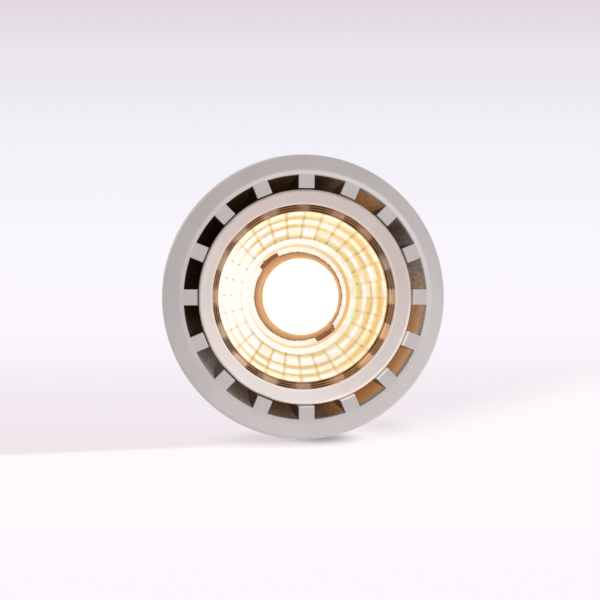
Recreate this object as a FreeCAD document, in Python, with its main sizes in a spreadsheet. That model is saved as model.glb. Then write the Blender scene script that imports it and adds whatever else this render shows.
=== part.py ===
"""GU10 LED spotlight bulb of the PAR16 size: a cast housing with sixteen slots round its face, a bezel
and clear cover, a faceted reflector round a chip-on-board LED, the mains driver and the twist-lock cap.

Frame: millimetres. The lamp stands on its face, so the face lies in the plane of zero height, the axis
of the lamp is Z and its two pins point up. A depth is a distance behind the face, measured along Z."""
import FreeCAD, Part
import Sketcher
import math
import os

from FreeCAD import Placement, Rotation, Vector

doc = FreeCAD.newDocument("gu10_spotlight")

# Driving dimensions, by piece: name, value in millimetres (or degrees, or a count), meaning
DIMENSIONS = [
    ("phosphor_radius", 7.0, "radius of the light-emitting surface"),
    ("phosphor_crown", 0.3, "how far it is domed over its edge"),
    ("dam_width", 0.35, "width of the dam round the light-emitting surface, with its gap"),
    ("dam_height", 0.8, "height of the dam"),
    ("substrate_margin", 0.05, "how far the LED's ceramic body stands out under the dam"),
    ("substrate_height", 2.15, "height of that body over its board"),
    ("reflector_hole_gap", 0.45, "gap between the LED's body and the reflector's lower opening"),
    ("ring_two_width", 1.5, "width of the second smooth ring of the reflector"),
    ("ring_one_width", 1.35, "width of the first smooth ring"),
    ("row_three_width", 1.9, "width of the third row of facets, on the radius"),
    ("row_two_width", 1.4, "width of the second row"),
    ("row_one_width", 1.1, "width of the first row, at the reflector's edge"),
    ("row_one_drop", 1.35, "depth of the first row"),
    ("row_two_drop", 1.4, "depth of the second row"),
    ("row_three_drop", 1.75, "depth of the third row"),
    ("ring_one_drop", 1.05, "depth of the first smooth ring"),
    ("ring_two_drop", 1.0, "depth of the second smooth ring"),
    ("facet_count", 28, "facets round the reflector"),
    ("reflector_wall", 0.45, "wall of the reflector, on the radius"),
    ("reflector_foot", 0.75, "width of the reflector's foot"),
    ("notch_width", 4.2, "width of the two notches over the leads"),
    ("notch_height", 0.9, "height of those notches"),
    ("window_angle", 45.0, "direction of the notches and leads; the screws lie across it"),
    ("mouth_margin", 1.2, "clear ring between the facets and the bezel"),
    ("lip_width", 1.1, "how far the bezel's lip covers the clear cover"),
    ("lens_thickness", 1.2, "thickness of the clear cover"),
    ("lens_gap", 0.1, "gap round the clear cover, and round the sleeve"),
    ("bezel_wall", 1.3, "wall of the bezel's skirt"),
    ("bezel_front_depth", 0.4, "face to the front edge of the bezel"),
    ("bezel_rounding", 0.5, "rounded front edge of the bezel"),
    ("bezel_mouth_depth", 1.9, "depth of the bezel's inner edge"),
    ("bezel_lip", 1.0, "thickness of the bezel at its inner edge"),
    ("bezel_gap", 0.2, "gap between the bezel and the ribs' front steps"),
    ("seat_gap", 0.05, "gap between pieces that are pressed or set together"),
    ("slot_width", 2.6, "width of the slots, from the bezel outwards"),
    ("face_ring_width", 0.7, "width of the flat ring that the lamp can stand on"),
    ("rim_slope_width", 2.0, "width of the sloping front of the rim"),
    ("rim_slope_depth", 0.8, "depth of that slope"),
    ("rim_edge_width", 0.9, "width of the rim's rounded edge"),
    ("rim_side_depth", 2.0, "depth where the rounded edge meets the side"),
    ("rim_rounding", 1.6, "radius of that edge"),
    ("band_depth", 7.6, "depth of the smooth band behind the rim"),
    ("band_draft", 0.2, "taper of the band, on the radius"),
    ("body_step", 1.5, "how far the body lies inside the rim, between the fins"),
    ("body_slope_length", 0.9, "length of the slope from the band to the body"),
    ("body_bulge_radius", 62.0, "radius of the bell's outward curve"),
    ("rib_count", 16, "ribs across the slots, and fins outside"),
    ("rib_width", 2.7, "width of a rib"),
    ("rib_reflector_gap", 0.35, "gap between the reflector's back and the ribs, on the radius"),
    ("rib_board_gap", 0.6, "gap between the LED's board and the inner ends of the ribs"),
    ("pocket_draft", 0.5, "how far the pocket's outer wall leans in down to the band's depth"),
    ("pocket_floor_height", 11.0, "floor of the pockets to the end of the neck"),
    ("pocket_floor_margin", 1.2, "pocket floor's outer radius, over the neck's radius"),
    ("core_wall", 1.4, "wall of the core tube"),
    ("seat_thickness", 3.0, "thickness of the LED's seat"),
    ("neck_wall", 1.65, "wall of the neck round the cap's spigot"),
    ("neck_length", 4.0, "length of the neck"),
    ("fin_width", 1.7, "width of a fin outside"),
    ("fin_inset", 0.6, "how far the fins' front ends lie inside the rim"),
    ("fin_rise", 1.5, "how far the fins stand out at the neck"),
    ("fin_foot_gap", 2.6, "end of the fins' edges to the end of the neck"),
    ("fin_foot_slope", 1.4, "length of the slope at the fins' feet"),
    ("fin_root", 0.8, "how deep the fins and ribs are rooted in the wall"),
    ("pad_thickness", 0.15, "thickness of the thermal pad"),
    ("board_margin", 0.7, "edge of the LED's board to its holes"),
    ("board_thickness", 1.0, "thickness of the LED's board"),
    ("joint_gap", 0.15, "gap between the LED's body and a solder joint"),
    ("joint_length", 0.85, "length of a solder joint"),
    ("joint_width", 1.6, "width of a solder joint"),
    ("joint_height", 1.15, "height of a solder joint"),
    ("lead_radius", 0.4, "LED lead"),
    ("lead_bend", 0.8, "bend of an LED lead"),
    ("lead_run", 0.15, "straight run of an LED lead at its solder joint"),
    ("lead_hole_radius", 0.75, "hole for an LED lead"),
    ("lead_rise", 2.7, "start of the driver's board to where the LED leads turn to it"),
    ("screw_gap", 0.15, "gap between the LED's body and a screw's head"),
    ("screw_radius", 1.0, "LED screw"),
    ("screw_head_radius", 1.5, "countersunk head of an LED screw"),
    ("screw_head_height", 0.7, "height of that head"),
    ("screw_bite", 2.65, "how far an LED screw enters its seat"),
    ("screw_recess_radius", 0.55, "driving recess of an LED screw"),
    ("screw_recess_depth", 0.5, "depth of that recess"),
    ("sleeve_wall", 0.8, "wall and floor of the insulating sleeve"),
    ("sleeve_end_gap", 0.5, "end of the sleeve to the end of the neck"),
    ("driver_clearance", 0.11, "gap between the driver and its sleeve"),
    ("circuit_offset", 2.5, "axis of the lamp to the middle of the driver's board"),
    ("circuit_thickness", 1.0, "thickness of the driver's board"),
    ("circuit_half_width", 9.95, "half the width of the driver's board"),
    ("circuit_margin", 2.1, "last part on the driver's board to its end"),
    ("circuit_end_gap", 2.5, "driver's board to the pins' flanges"),
    ("spigot_depth", 5.0, "length of the cap's spigot in the neck"),
    ("spigot_wall", 1.8, "wall of that spigot"),
    ("flange_thickness", 2.0, "flange of the cap on the neck"),
    ("cap_taper", 0.4, "taper of the cap, on the radius"),
    ("cap_wall", 1.7, "wall of the cap"),
    ("cap_height", 9.9, "neck to the end of the cap"),
    ("cap_rounding", 1.1, "rounded edge of the cap"),
    ("land_width", 8.8, "width of the raised land round the pins"),
    ("land_bow", 0.18, "how much more than half its width the land's round ends take as their radius"),
    ("land_height", 0.8, "height of that land"),
    ("pin_spacing", 10.0, "distance between the pins' axes"),
    ("pin_length", 7.3, "land to the end of the pins"),
    ("pin_head_radius", 2.5, "head of a pin"),
    ("pin_head_height", 2.4, "height of a pin's head"),
    ("pin_edge", 0.4, "bevel on a pin's head"),
    ("pin_radius", 1.55, "stem of a pin"),
    ("pin_flange_rim", 0.5, "how far a pin's flange stands out inside the cap"),
    ("pin_flange_height", 0.8, "thickness of that flange"),
    ("mains_wire_radius", 0.5, "wire from a pin to the driver"),
    ("mains_wire_bend", 1.2, "bend of that wire"),
    ("mains_wire_inset", 1.9, "end of the driver's board to where that wire meets it"),
    ("transformer_start", 4.0, "start of the driver's board to the transformer"),
    ("transformer_width", 12.0, "width of the transformer's core"),
    ("transformer_depth", 8.6, "thickness of the transformer's core"),
    ("transformer_height", 9.0, "height of the transformer's core"),
    ("core_bar", 1.7, "thickness of the core's bars"),
    ("winding_inset", 0.4, "how far the winding lies inside the core's faces"),
    ("part_gap", 0.8, "gap between the transformer and the bulk capacitor"),
    ("capacitor_radius", 4.2, "bulk capacitor"),
    ("capacitor_length", 10.8, "length of the bulk capacitor"),
    ("film_width", 9.0, "width of the film capacitor"),
    ("film_depth", 4.1, "thickness of the film capacitor"),
    ("film_height", 6.0, "height of the film capacitor"),
    ("film_gap", 1.4, "gap between the control chip and the film capacitor"),
    ("rectifier_gap", 1.5, "gap between the film capacitor and the bridge rectifier"),
    ("rectifier_width", 6.4, "width of the bridge rectifier"),
    ("rectifier_depth", 2.4, "thickness of the bridge rectifier"),
    ("rectifier_height", 4.6, "height of the bridge rectifier"),
    ("fuse_start", 3.7, "start of the driver's board to the fuse resistor"),
    ("fuse_radius", 1.3, "fuse resistor"),
    ("fuse_length", 6.5, "length of the fuse resistor"),
    ("chip_gap", 1.3, "gap between the fuse resistor and the control chip"),
    ("chip_width", 5.0, "width of the control chip"),
    ("chip_depth", 1.5, "thickness of the control chip"),
    ("chip_height", 4.0, "height of the control chip"),
    ("chip_offset", 1.0, "axis of the lamp to the near side of the control chip"),
]

# A right angle, in degrees
QUARTER_TURN = 90.0

sheet = doc.addObject("Spreadsheet::Sheet", "Sizes")
for row, (alias, number, meaning) in enumerate(DIMENSIONS, start=1):
    sheet.set("A%d" % row, alias)
    sheet.set("B%d" % row, str(number))
    sheet.set("C%d" % row, meaning)
    sheet.setAlias("B%d" % row, alias)
doc.recompute()


class Size:
    """A length that keeps both its formula over the sheet and its present value."""

    def __init__(self, formula, value):
        self.formula = formula
        self.value = value

    def combine(self, sign, other, value):
        formula = other.formula if isinstance(other, Size) else repr(float(other))
        return Size("(%s %s %s)" % (self.formula, sign, formula), value)

    def __add__(self, other):
        return self.combine("+", other, self.value + number_of(other))

    def __sub__(self, other):
        return self.combine("-", other, self.value - number_of(other))

    def __mul__(self, other):
        return self.combine("*", other, self.value * number_of(other))

    def __truediv__(self, other):
        return self.combine("/", other, self.value / number_of(other))

    def __neg__(self):
        return Size("(0 - %s)" % self.formula, -self.value)


def number_of(length):
    """The plain number of a Size or of a number."""
    return length.value if isinstance(length, Size) else float(length)


def cell(alias):
    """The sheet's value of that name, as a Size."""
    return Size("Sizes.%s" % alias, float(sheet.get(alias)))


def largest(*lengths):
    """The largest of several lengths."""
    return Size("max(%s)" % "; ".join(length.formula for length in lengths),
                max(length.value for length in lengths))


def smallest(*lengths):
    """The smallest of several lengths."""
    return Size("min(%s)" % "; ".join(length.formula for length in lengths),
                min(length.value for length in lengths))


def corner_reach(across, up):
    """How far a corner lies from the lamp's axis."""
    return Size("sqrt(%s ^ 2 + %s ^ 2)" % (across.formula, up.formula), math.hypot(across.value, up.value))


ZERO = Size("0", 0.0)


def bind(feature, **lengths):
    """Bind properties of a feature to the sheet; a double underscore stands for a dot in the path."""
    for path, length in lengths.items():
        formula = length.formula if isinstance(length, Size) else repr(float(length))
        feature.setExpression(path.replace("__", "."), formula)
    return feature


def origin_element(body, role):
    """The plane or axis of the body's own origin that has this role."""
    return next(item for item in body.Origin.OriginFeatures if item.Role == role)


def new_body(node):
    """An empty body for a piece."""
    body = doc.addObject("PartDesign::Body", node)
    body.Label = node
    return body


def arc_between(start, end, radius, turn):
    """The minor arc from start to end, turning left or right; sketches store it counter-clockwise."""
    chord = end - start
    height = math.sqrt(max(radius ** 2 - (chord.Length / 2) ** 2, 0.0))
    side = Vector(-chord.y, chord.x, 0).normalize()
    centre = (start + end) / 2 + side * (height if turn == "left" else -height)
    first, last = (start, end) if turn == "left" else (end, start)
    angles = [math.atan2((point - centre).y, (point - centre).x) for point in (first, last)]
    circle = Part.Circle(centre, Vector(0, 0, 1), radius)
    return Part.ArcOfCircle(circle, angles[0], angles[1])


def outline(body, name, role, corners, depth=None):
    """A closed sketch on a plane of the body's origin. A corner is (across, up), or (across, up, radius,
    turn) where the edge that arrives there is an arc. Every corner is bound to the sheet."""
    sketch = body.newObject("Sketcher::SketchObject", name)
    sketch.AttachmentSupport = (origin_element(body, role), [""])
    sketch.MapMode = "FlatFace"
    if depth is not None:
        bind(sketch, AttachmentOffset__Base__z=depth)
    points = [Vector(number_of(corner[0]), number_of(corner[1]), 0) for corner in corners]
    ends = []
    for index, corner in enumerate(corners):
        start, end = points[index - 1], points[index]
        if len(corner) == 2:
            edge = sketch.addGeometry(Part.LineSegment(start, end), False)
            ends.append((edge, 1, 2))
        else:
            radius, turn = corner[2], corner[3]
            edge = sketch.addGeometry(arc_between(start, end, number_of(radius), turn), False)
            ends.append((edge, 1, 2) if turn == "left" else (edge, 2, 1))
            item = sketch.addConstraint(Sketcher.Constraint("Radius", edge, number_of(radius)))
            sketch.setExpression("Constraints[%d]" % item, radius.formula)
    for index, corner in enumerate(corners):
        edge, _, arrival = ends[index]
        after, departure, _ = ends[(index + 1) % len(corners)]
        sketch.addConstraint(Sketcher.Constraint("Coincident", edge, arrival, after, departure))
        for kind, axis, length in (("DistanceX", -2, corner[0]), ("DistanceY", -1, corner[1])):
            if number_of(length) == 0:
                sketch.addConstraint(Sketcher.Constraint("PointOnObject", edge, arrival, axis))
                continue
            item = sketch.addConstraint(
                Sketcher.Constraint(kind, -1, 1, edge, arrival, number_of(length)))
            if isinstance(length, Size):
                sketch.setExpression("Constraints[%d]" % item, length.formula)
    return sketch


def revolve(body, name, corners):
    """Turn a closed outline in the XZ plane, given as (radius, depth) corners, round the lamp's axis."""
    feature = body.newObject("PartDesign::Revolution", name)
    feature.Profile = outline(body, name + "_outline", "XZ_Plane", corners)
    feature.ReferenceAxis = (origin_element(body, "Z_Axis"), [""])
    feature.Angle = 360.0
    return feature


def turned(node, corners):
    """A piece of its own that is one turned form."""
    body = new_body(node)
    revolve(body, node + "_form", corners)
    return body


def radial_plates(body, name, corners, width, count):
    """Plates of one width that stand on the lamp's axis, one along X and the rest evenly round it."""
    plate = body.newObject("PartDesign::Pad", name)
    plate.Profile = outline(body, name + "_outline", "XZ_Plane", corners)
    plate.SideType = "Symmetric"
    bind(plate, Length=width)
    pattern = body.newObject("PartDesign::PolarPattern", name + "_round")
    pattern.Originals = [plate]
    pattern.Axis = (origin_element(body, "Z_Axis"), [""])
    pattern.Angle = 360.0
    bind(pattern, Occurrences=count)
    body.Tip = pattern
    return pattern


def primitive(kind, name, at=(ZERO, ZERO, ZERO), turn=None, **lengths):
    """A Part primitive whose sizes and place are bound to the sheet."""
    shape = doc.addObject("Part::" + kind, name)
    if turn is not None:
        shape.Placement = Placement(Vector(0, 0, 0), turn)
    bind(shape, Placement__Base__x=at[0], Placement__Base__y=at[1], Placement__Base__z=at[2])
    return bind(shape, **lengths)


def block(name, low, width, depth, height):
    """A box from its lowest corner."""
    return primitive("Box", name, low, Length=width, Width=depth, Height=height)


def joined(node, pieces):
    """Pieces fused into one solid."""
    fusion = doc.addObject("Part::MultiFuse", node)
    fusion.Shapes = pieces
    return fusion


def cut(node, base, tools):
    """A base with one or more tools cut out of it."""
    result = doc.addObject("Part::Cut", node)
    result.Base = base
    result.Tool = tools[0] if len(tools) == 1 else joined(node + "_cuts", tools)
    return result


def turn_to(piece, angle):
    """Turn a finished piece about the lamp's axis."""
    piece.Placement = Placement(Vector(0, 0, 0), Rotation(Vector(0, 0, 1), angle.value))
    bind(piece, Placement__Rotation__Angle=angle)
    return piece


def bent_tube(node, points, radius, bend):
    """A round wire along straight runs that are joined by tangent arcs of one radius."""
    edges = []
    start = points[0]
    for before, corner, after in zip(points, points[1:], points[2:]):
        inward = (before - corner).normalize()
        outward = (after - corner).normalize()
        reach = bend * math.tan((math.pi - inward.getAngle(outward)) / 2)
        first, last = corner + inward * reach, corner + outward * reach
        centre = corner + (inward + outward).normalize() * math.hypot(bend, reach)
        middle = centre + (corner - centre).normalize() * bend
        edges.append(Part.LineSegment(start, first).toShape())
        edges.append(Part.Arc(first, middle, last).toShape())
        start = last
    edges.append(Part.LineSegment(start, points[-1]).toShape())
    section = Part.Face(Part.Wire(Part.Circle(points[0], points[1] - points[0], radius).toShape()))
    tube = doc.addObject("Part::Feature", node)
    tube.Shape = Part.Wire(edges).makePipe(section)
    return tube


# Radii from the axis outwards: the LED, the reflector round it, the cover, the bezel, the slots, the rim
dam_radius = cell("phosphor_radius") + cell("dam_width")
substrate_radius = dam_radius + cell("substrate_margin")
reflector_hole_radius = substrate_radius + cell("reflector_hole_gap")
ring_two_radius = reflector_hole_radius + cell("ring_two_width")
ring_one_radius = ring_two_radius + cell("ring_one_width")
row_three_radius = ring_one_radius + cell("row_three_width")
row_two_radius = row_three_radius + cell("row_two_width")
reflector_radius = row_two_radius + cell("row_one_width")
mouth_radius = reflector_radius + cell("mouth_margin")
lens_radius = mouth_radius + cell("lip_width")
lens_pocket_radius = lens_radius + cell("lens_gap")
bezel_radius = lens_pocket_radius + cell("bezel_wall")
slot_radius = bezel_radius + cell("slot_width")
face_ring_radius = slot_radius + cell("face_ring_width")
rim_slope_radius = face_ring_radius + cell("rim_slope_width")
rim_radius = rim_slope_radius + cell("rim_edge_width")

# Places on the LED's board: its solder joints, leads and screws
joint_start = substrate_radius + cell("joint_gap")
joint_end = joint_start + cell("joint_length")
lead_circle = joint_end + cell("lead_bend") + cell("lead_run")
screw_circle = substrate_radius + cell("screw_gap") + cell("screw_head_radius")
board_radius = lead_circle + cell("lead_hole_radius") + cell("board_margin")

# Depths from the face backwards
lens_front = cell("bezel_mouth_depth") + cell("bezel_lip")
lens_back = lens_front + cell("lens_thickness")
reflector_front = lens_back + cell("seat_gap")
row_two_depth = reflector_front + cell("row_one_drop")
row_three_depth = row_two_depth + cell("row_two_drop")
ring_one_depth = row_three_depth + cell("row_three_drop")
ring_two_depth = ring_one_depth + cell("ring_one_drop")
reflector_foot_depth = ring_two_depth + cell("ring_two_drop")
board_front = reflector_foot_depth + cell("seat_gap")
board_back = board_front + cell("board_thickness")
seat_depth = board_back + cell("pad_thickness")
seat_back = seat_depth + cell("seat_thickness")
circuit_start = seat_back + cell("sleeve_wall")
capacitor_start = circuit_start + cell("transformer_start") + cell("transformer_height") + cell("part_gap")
fuse_start = circuit_start + cell("fuse_start")
chip_start = fuse_start + cell("fuse_radius") * 2 + cell("chip_gap")
film_start = chip_start + cell("chip_height") + cell("film_gap")
rectifier_start = film_start + cell("film_height") + cell("rectifier_gap")
last_part_end = largest(capacitor_start + cell("capacitor_length"), rectifier_start + cell("rectifier_height"))
circuit_length = last_part_end + cell("circuit_margin") - circuit_start
circuit_end = circuit_start + circuit_length
pin_inner_end = circuit_end + cell("circuit_end_gap")
cap_inside = pin_inner_end + cell("pin_flange_height")
cap_end = cap_inside + cell("cap_wall")
land_end = cap_end + cell("land_height")
housing_length = cap_end - cell("cap_height")
neck_depth = housing_length - cell("neck_length")
pocket_depth = housing_length - cell("pocket_floor_height")
spigot_start = housing_length - cell("spigot_depth")

# Faces of the driver's board, and the sleeve, bore and cap that clear what the board carries
circuit_front = cell("circuit_thickness") / 2 - cell("circuit_offset")
circuit_back = -cell("circuit_thickness") / 2 - cell("circuit_offset")
sleeve_inside = largest(
    corner_reach(cell("circuit_half_width"), circuit_back),
    corner_reach(cell("transformer_width") / 2, circuit_front + cell("transformer_depth")),
    corner_reach(cell("film_width") / 2, circuit_back - cell("film_depth")),
    circuit_front + cell("capacitor_radius") * 2,
    lead_circle + cell("lead_hole_radius"),
) + cell("driver_clearance")
sleeve_outside = sleeve_inside + cell("sleeve_wall")
driver_bore_radius = sleeve_outside + cell("lens_gap")
core_radius = largest(driver_bore_radius + cell("core_wall"), board_radius + cell("rib_board_gap") * 2)
spigot_radius = driver_bore_radius + cell("spigot_wall")
neck_bore_radius = spigot_radius + cell("seat_gap")
neck_radius = neck_bore_radius + cell("neck_wall")

# Outside of the reflector's wall: (radius, depth), from its edge to its foot
reflector_edge = reflector_radius + cell("reflector_wall")
reflector_back = [(reflector_edge, reflector_front)] + [
    (radius + cell("reflector_wall"), depth + cell("reflector_wall") / 2)
    for radius, depth in (
        (row_two_radius, row_two_depth), (row_three_radius, row_three_depth),
        (ring_one_radius, ring_one_depth))
] + [(reflector_hole_radius + cell("reflector_foot"), reflector_foot_depth)]


def heatsink_housing():
    """The casting: a bell with a closed ring of pockets round a core that carries the LED, and ribs."""
    body = new_body("heatsink_housing")
    body_radius = rim_radius - cell("body_step")
    body_depth = cell("band_depth") + cell("body_slope_length")
    revolve(body, "bell", [
        (ZERO, seat_depth),
        (core_radius, seat_depth),
        (core_radius, pocket_depth),
        (neck_radius + cell("pocket_floor_margin"), pocket_depth),
        (slot_radius - cell("pocket_draft"), cell("band_depth"), cell("body_bulge_radius"), "right"),
        (slot_radius, ZERO),
        (face_ring_radius, ZERO),
        (rim_slope_radius, cell("rim_slope_depth")),
        (rim_radius, cell("rim_side_depth"), cell("rim_rounding"), "left"),
        (rim_radius - cell("band_draft"), cell("band_depth")),
        (body_radius, body_depth),
        (neck_radius, neck_depth, cell("body_bulge_radius"), "left"),
        (neck_radius, housing_length),
        (neck_bore_radius, housing_length),
        (neck_bore_radius, spigot_start),
        (driver_bore_radius, spigot_start),
        (driver_bore_radius, seat_back),
        (ZERO, seat_back),
    ])
    # A rib bridges the slot, steps down to carry the cover and runs in behind the reflector
    rib_end = bezel_radius + cell("bezel_gap")
    rib_root = slot_radius - cell("pocket_draft") + cell("fin_root")
    rib_foot_root = neck_radius + cell("pocket_floor_margin") + cell("fin_root") / 2
    rib_core = board_radius + cell("rib_board_gap")
    core_middle = core_radius - cell("core_wall") / 2
    behind = [(radius + cell("rib_reflector_gap"), depth) for radius, depth in reflector_back[1:4]]
    radial_plates(body, "rib", [
        (slot_radius + cell("pocket_draft"), ZERO),
        (rib_end, ZERO),
        (rib_end, lens_back),
        (reflector_edge + cell("rib_reflector_gap"), lens_back),
        *behind,
        (rib_core, seat_depth),
        (core_middle, seat_depth + cell("fin_root")),
        (core_middle, pocket_depth + cell("fin_root")),
        (rib_foot_root, pocket_depth + cell("fin_root")),
        (rib_root, cell("band_depth"), cell("body_bulge_radius"), "right"),
    ], cell("rib_width"), cell("rib_count"))
    # A fin stands on the bell outside, in line with each rib
    fin_top = rim_radius - cell("fin_inset")
    fin_foot = neck_radius + cell("fin_rise")
    fin_foot_depth = housing_length - cell("fin_foot_gap")
    foot_end = fin_foot_depth + cell("fin_foot_slope")
    root_top = body_radius - cell("fin_root")
    root_foot = neck_radius - cell("fin_root")
    radial_plates(body, "fin", [
        (root_top, cell("band_depth") - cell("fin_root")),
        (fin_top, cell("band_depth") - cell("fin_root")),
        (fin_top, cell("band_depth")),
        (fin_foot, fin_foot_depth, cell("body_bulge_radius"), "left"),
        (root_foot, foot_end),
        (root_foot, neck_depth),
    ], cell("fin_width"), cell("rib_count"))
    # Holes through the seat for the leads and the screws
    across = cell("window_angle") + QUARTER_TURN
    plate = (seat_depth, cell("seat_thickness") + cell("seat_gap"))
    drill_pair(body, "lead_holes", plate, lead_circle, cell("lead_hole_radius"), cell("window_angle"))
    drill_pair(body, "screw_holes", plate, screw_circle, cell("screw_radius") + cell("seat_gap"), across)
    return body


def drill_pair(body, name, plate, circle, radius, angle):
    """Two opposite holes, in the direction of the angle, through a plate given as (depth, thickness)."""
    sketch = body.newObject("Sketcher::SketchObject", name + "_plan")
    sketch.AttachmentSupport = (origin_element(body, "XY_Plane"), [""])
    sketch.MapMode = "FlatFace"
    bind(sketch, AttachmentOffset__Base__z=plate[0])
    across, up = on_circle(circle, angle)
    for centre_x, centre_y in ((across, up), (-across, -up)):
        middle = Vector(centre_x.value, centre_y.value, 0)
        ring = sketch.addGeometry(Part.Circle(middle, Vector(0, 0, 1), radius.value), False)
        for constraint, formula in (
            (Sketcher.Constraint("Radius", ring, radius.value), radius.formula),
            (Sketcher.Constraint("DistanceX", -1, 1, ring, 3, centre_x.value), centre_x.formula),
            (Sketcher.Constraint("DistanceY", -1, 1, ring, 3, centre_y.value), centre_y.formula),
        ):
            item = sketch.addConstraint(constraint)
            sketch.setExpression("Constraints[%d]" % item, formula)
    pocket = body.newObject("PartDesign::Pocket", name)
    pocket.Profile = sketch
    pocket.Reversed = True
    bind(pocket, Length=plate[1])


def on_circle(circle, angle):
    """The two coordinates of a place at that distance and direction from the lamp's axis."""
    turn = math.radians(number_of(angle))
    formula = "(%s * 1 deg)" % angle.formula
    return (Size("(%s * cos(%s))" % (circle.formula, formula), circle.value * math.cos(turn)),
            Size("(%s * sin(%s))" % (circle.formula, formula), circle.value * math.sin(turn)))


def bezel_ring():
    """The ring in the middle of the face: dished in front, with a lip and a skirt that hold the cover."""
    skirt_end = lens_back - cell("seat_gap")
    return turned("bezel_ring", [
        (mouth_radius, lens_front),
        (lens_pocket_radius, lens_front),
        (lens_pocket_radius, skirt_end),
        (bezel_radius, skirt_end),
        (bezel_radius, cell("bezel_front_depth") + cell("bezel_rounding")),
        (bezel_radius - cell("bezel_rounding"), cell("bezel_front_depth"),
         cell("bezel_rounding"), "right"),
        (mouth_radius, cell("bezel_mouth_depth")),
    ])


def front_lens():
    """The clear cover, a flat disc."""
    return turned("front_lens", [
        (ZERO, lens_front),
        (lens_radius, lens_front),
        (lens_radius, lens_back),
        (ZERO, lens_back),
    ])


def reflector():
    """The metallised cup: three rows of flat facets, then two smooth rings down to the LED."""
    blank = turned("reflector_blank", [(ZERO, reflector_front), *reflector_back, (ZERO, reflector_foot_depth)])
    corners = [
        (reflector_radius, reflector_front),
        (row_two_radius, row_two_depth),
        (row_three_radius, row_three_depth),
        (ring_one_radius, ring_one_depth),
    ]
    rings = [
        primitive("RegularPolygon", "facet_corners_%d" % number, (ZERO, ZERO, depth),
                  Polygon=cell("facet_count"), Circumradius=radius)
        for number, (radius, depth) in enumerate(corners, start=1)
    ]
    facets = doc.addObject("Part::Loft", "facets")
    facets.Sections = rings
    facets.Solid = True
    facets.Ruled = True
    smooth = turned("smooth_rings", [
        (ZERO, ring_one_depth),
        (ring_one_radius, ring_one_depth),
        (ring_two_radius, ring_two_depth),
        (reflector_hole_radius, reflector_foot_depth),
        (ZERO, reflector_foot_depth),
    ])
    # The notches let the LED's two leads in under the foot
    half_length = ring_one_radius + cell("reflector_wall")
    half_width = cell("notch_width") / 2
    along, aside = on_circle(half_length, cell("window_angle")), on_circle(half_width, cell("window_angle"))
    notch = block("notches", (aside[1] - along[0], -along[1] - aside[0],
                              reflector_foot_depth - cell("notch_height")),
                  half_length * 2, cell("notch_width"), cell("notch_height"))
    notch.Placement.Rotation = Rotation(Vector(0, 0, 1), 1.0)
    bind(notch, Placement__Rotation__Angle=cell("window_angle"))
    return cut("reflector", blank, [facets, smooth, notch])


def cob_board():
    """The LED's round board, with two countersunk holes, two holes for leads and its solder joints."""
    radius = cell("screw_radius") + cell("seat_gap")
    tools = []
    for number, side in enumerate((1, -1), start=1):
        place = (ZERO, screw_circle * side, board_front)
        tools.append(primitive("Cone", "board_sink_%d" % number, place, Height=cell("screw_head_height"),
                               Radius1=cell("screw_head_radius") + cell("seat_gap"), Radius2=radius))
        tools.append(primitive("Cylinder", "board_screw_hole_%d" % number, place, Radius=radius,
                               Height=cell("board_thickness")))
        place = (lead_circle * side, ZERO, board_front)
        tools.append(primitive("Cylinder", "board_lead_hole_%d" % number, place,
                               Radius=cell("lead_hole_radius"), Height=cell("board_thickness")))
    disc = primitive("Cylinder", "board_disc", (ZERO, ZERO, board_front), Radius=board_radius,
                     Height=cell("board_thickness"))
    plate = cut("board_plate", disc, tools)
    low = (joint_start, -cell("joint_width") / 2, board_front - cell("joint_height"))
    right = block("joint_right", low, cell("joint_length"), cell("joint_width"), cell("joint_height"))
    low = (-joint_start - cell("joint_length"), low[1], low[2])
    left = block("joint_left", low, cell("joint_length"), cell("joint_width"), cell("joint_height"))
    return turn_to(joined("cob_board", [plate, right, left]), cell("window_angle"))


def thermal_pad():
    """The soft pad between the LED's board and its seat, with holes for leads and screws."""
    tools = []
    for number, side in enumerate((1, -1), start=1):
        for name, place in (("screw", (ZERO, screw_circle * side, board_back)),
                            ("lead", (lead_circle * side, ZERO, board_back))):
            tools.append(primitive("Cylinder", "pad_%s_hole_%d" % (name, number), place,
                                   Radius=cell("screw_radius") + cell("lens_gap"),
                                   Height=cell("pad_thickness")))
    disc = primitive("Cylinder", "pad_disc", (ZERO, ZERO, board_back), Radius=board_radius,
                     Height=cell("pad_thickness"))
    return turn_to(cut("thermal_pad", disc, tools), cell("window_angle"))


def cob_package():
    """The LED itself: its ceramic body, the dam on it and the slightly domed light-emitting surface."""
    body_front = board_front - cell("substrate_height")
    dam_front = body_front - cell("dam_height")
    dam_inside = cell("phosphor_radius") + cell("seat_gap")
    crown = cell("phosphor_crown")
    crown_radius = (cell("phosphor_radius") * cell("phosphor_radius") + crown * crown) / (crown * 2)
    substrate = primitive("Cylinder", "cob_substrate", (ZERO, ZERO, body_front),
                          Radius=substrate_radius, Height=cell("substrate_height"))
    dam = turned("cob_dam", [
        (dam_inside, dam_front),
        (dam_radius, dam_front),
        (dam_radius, body_front),
        (dam_inside, body_front),
    ])
    phosphor = turned("cob_phosphor", [
        (ZERO, body_front),
        (cell("phosphor_radius"), body_front),
        (cell("phosphor_radius"), dam_front),
        (ZERO, dam_front - crown, crown_radius, "right"),
    ])
    return [substrate, dam, phosphor]


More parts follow.
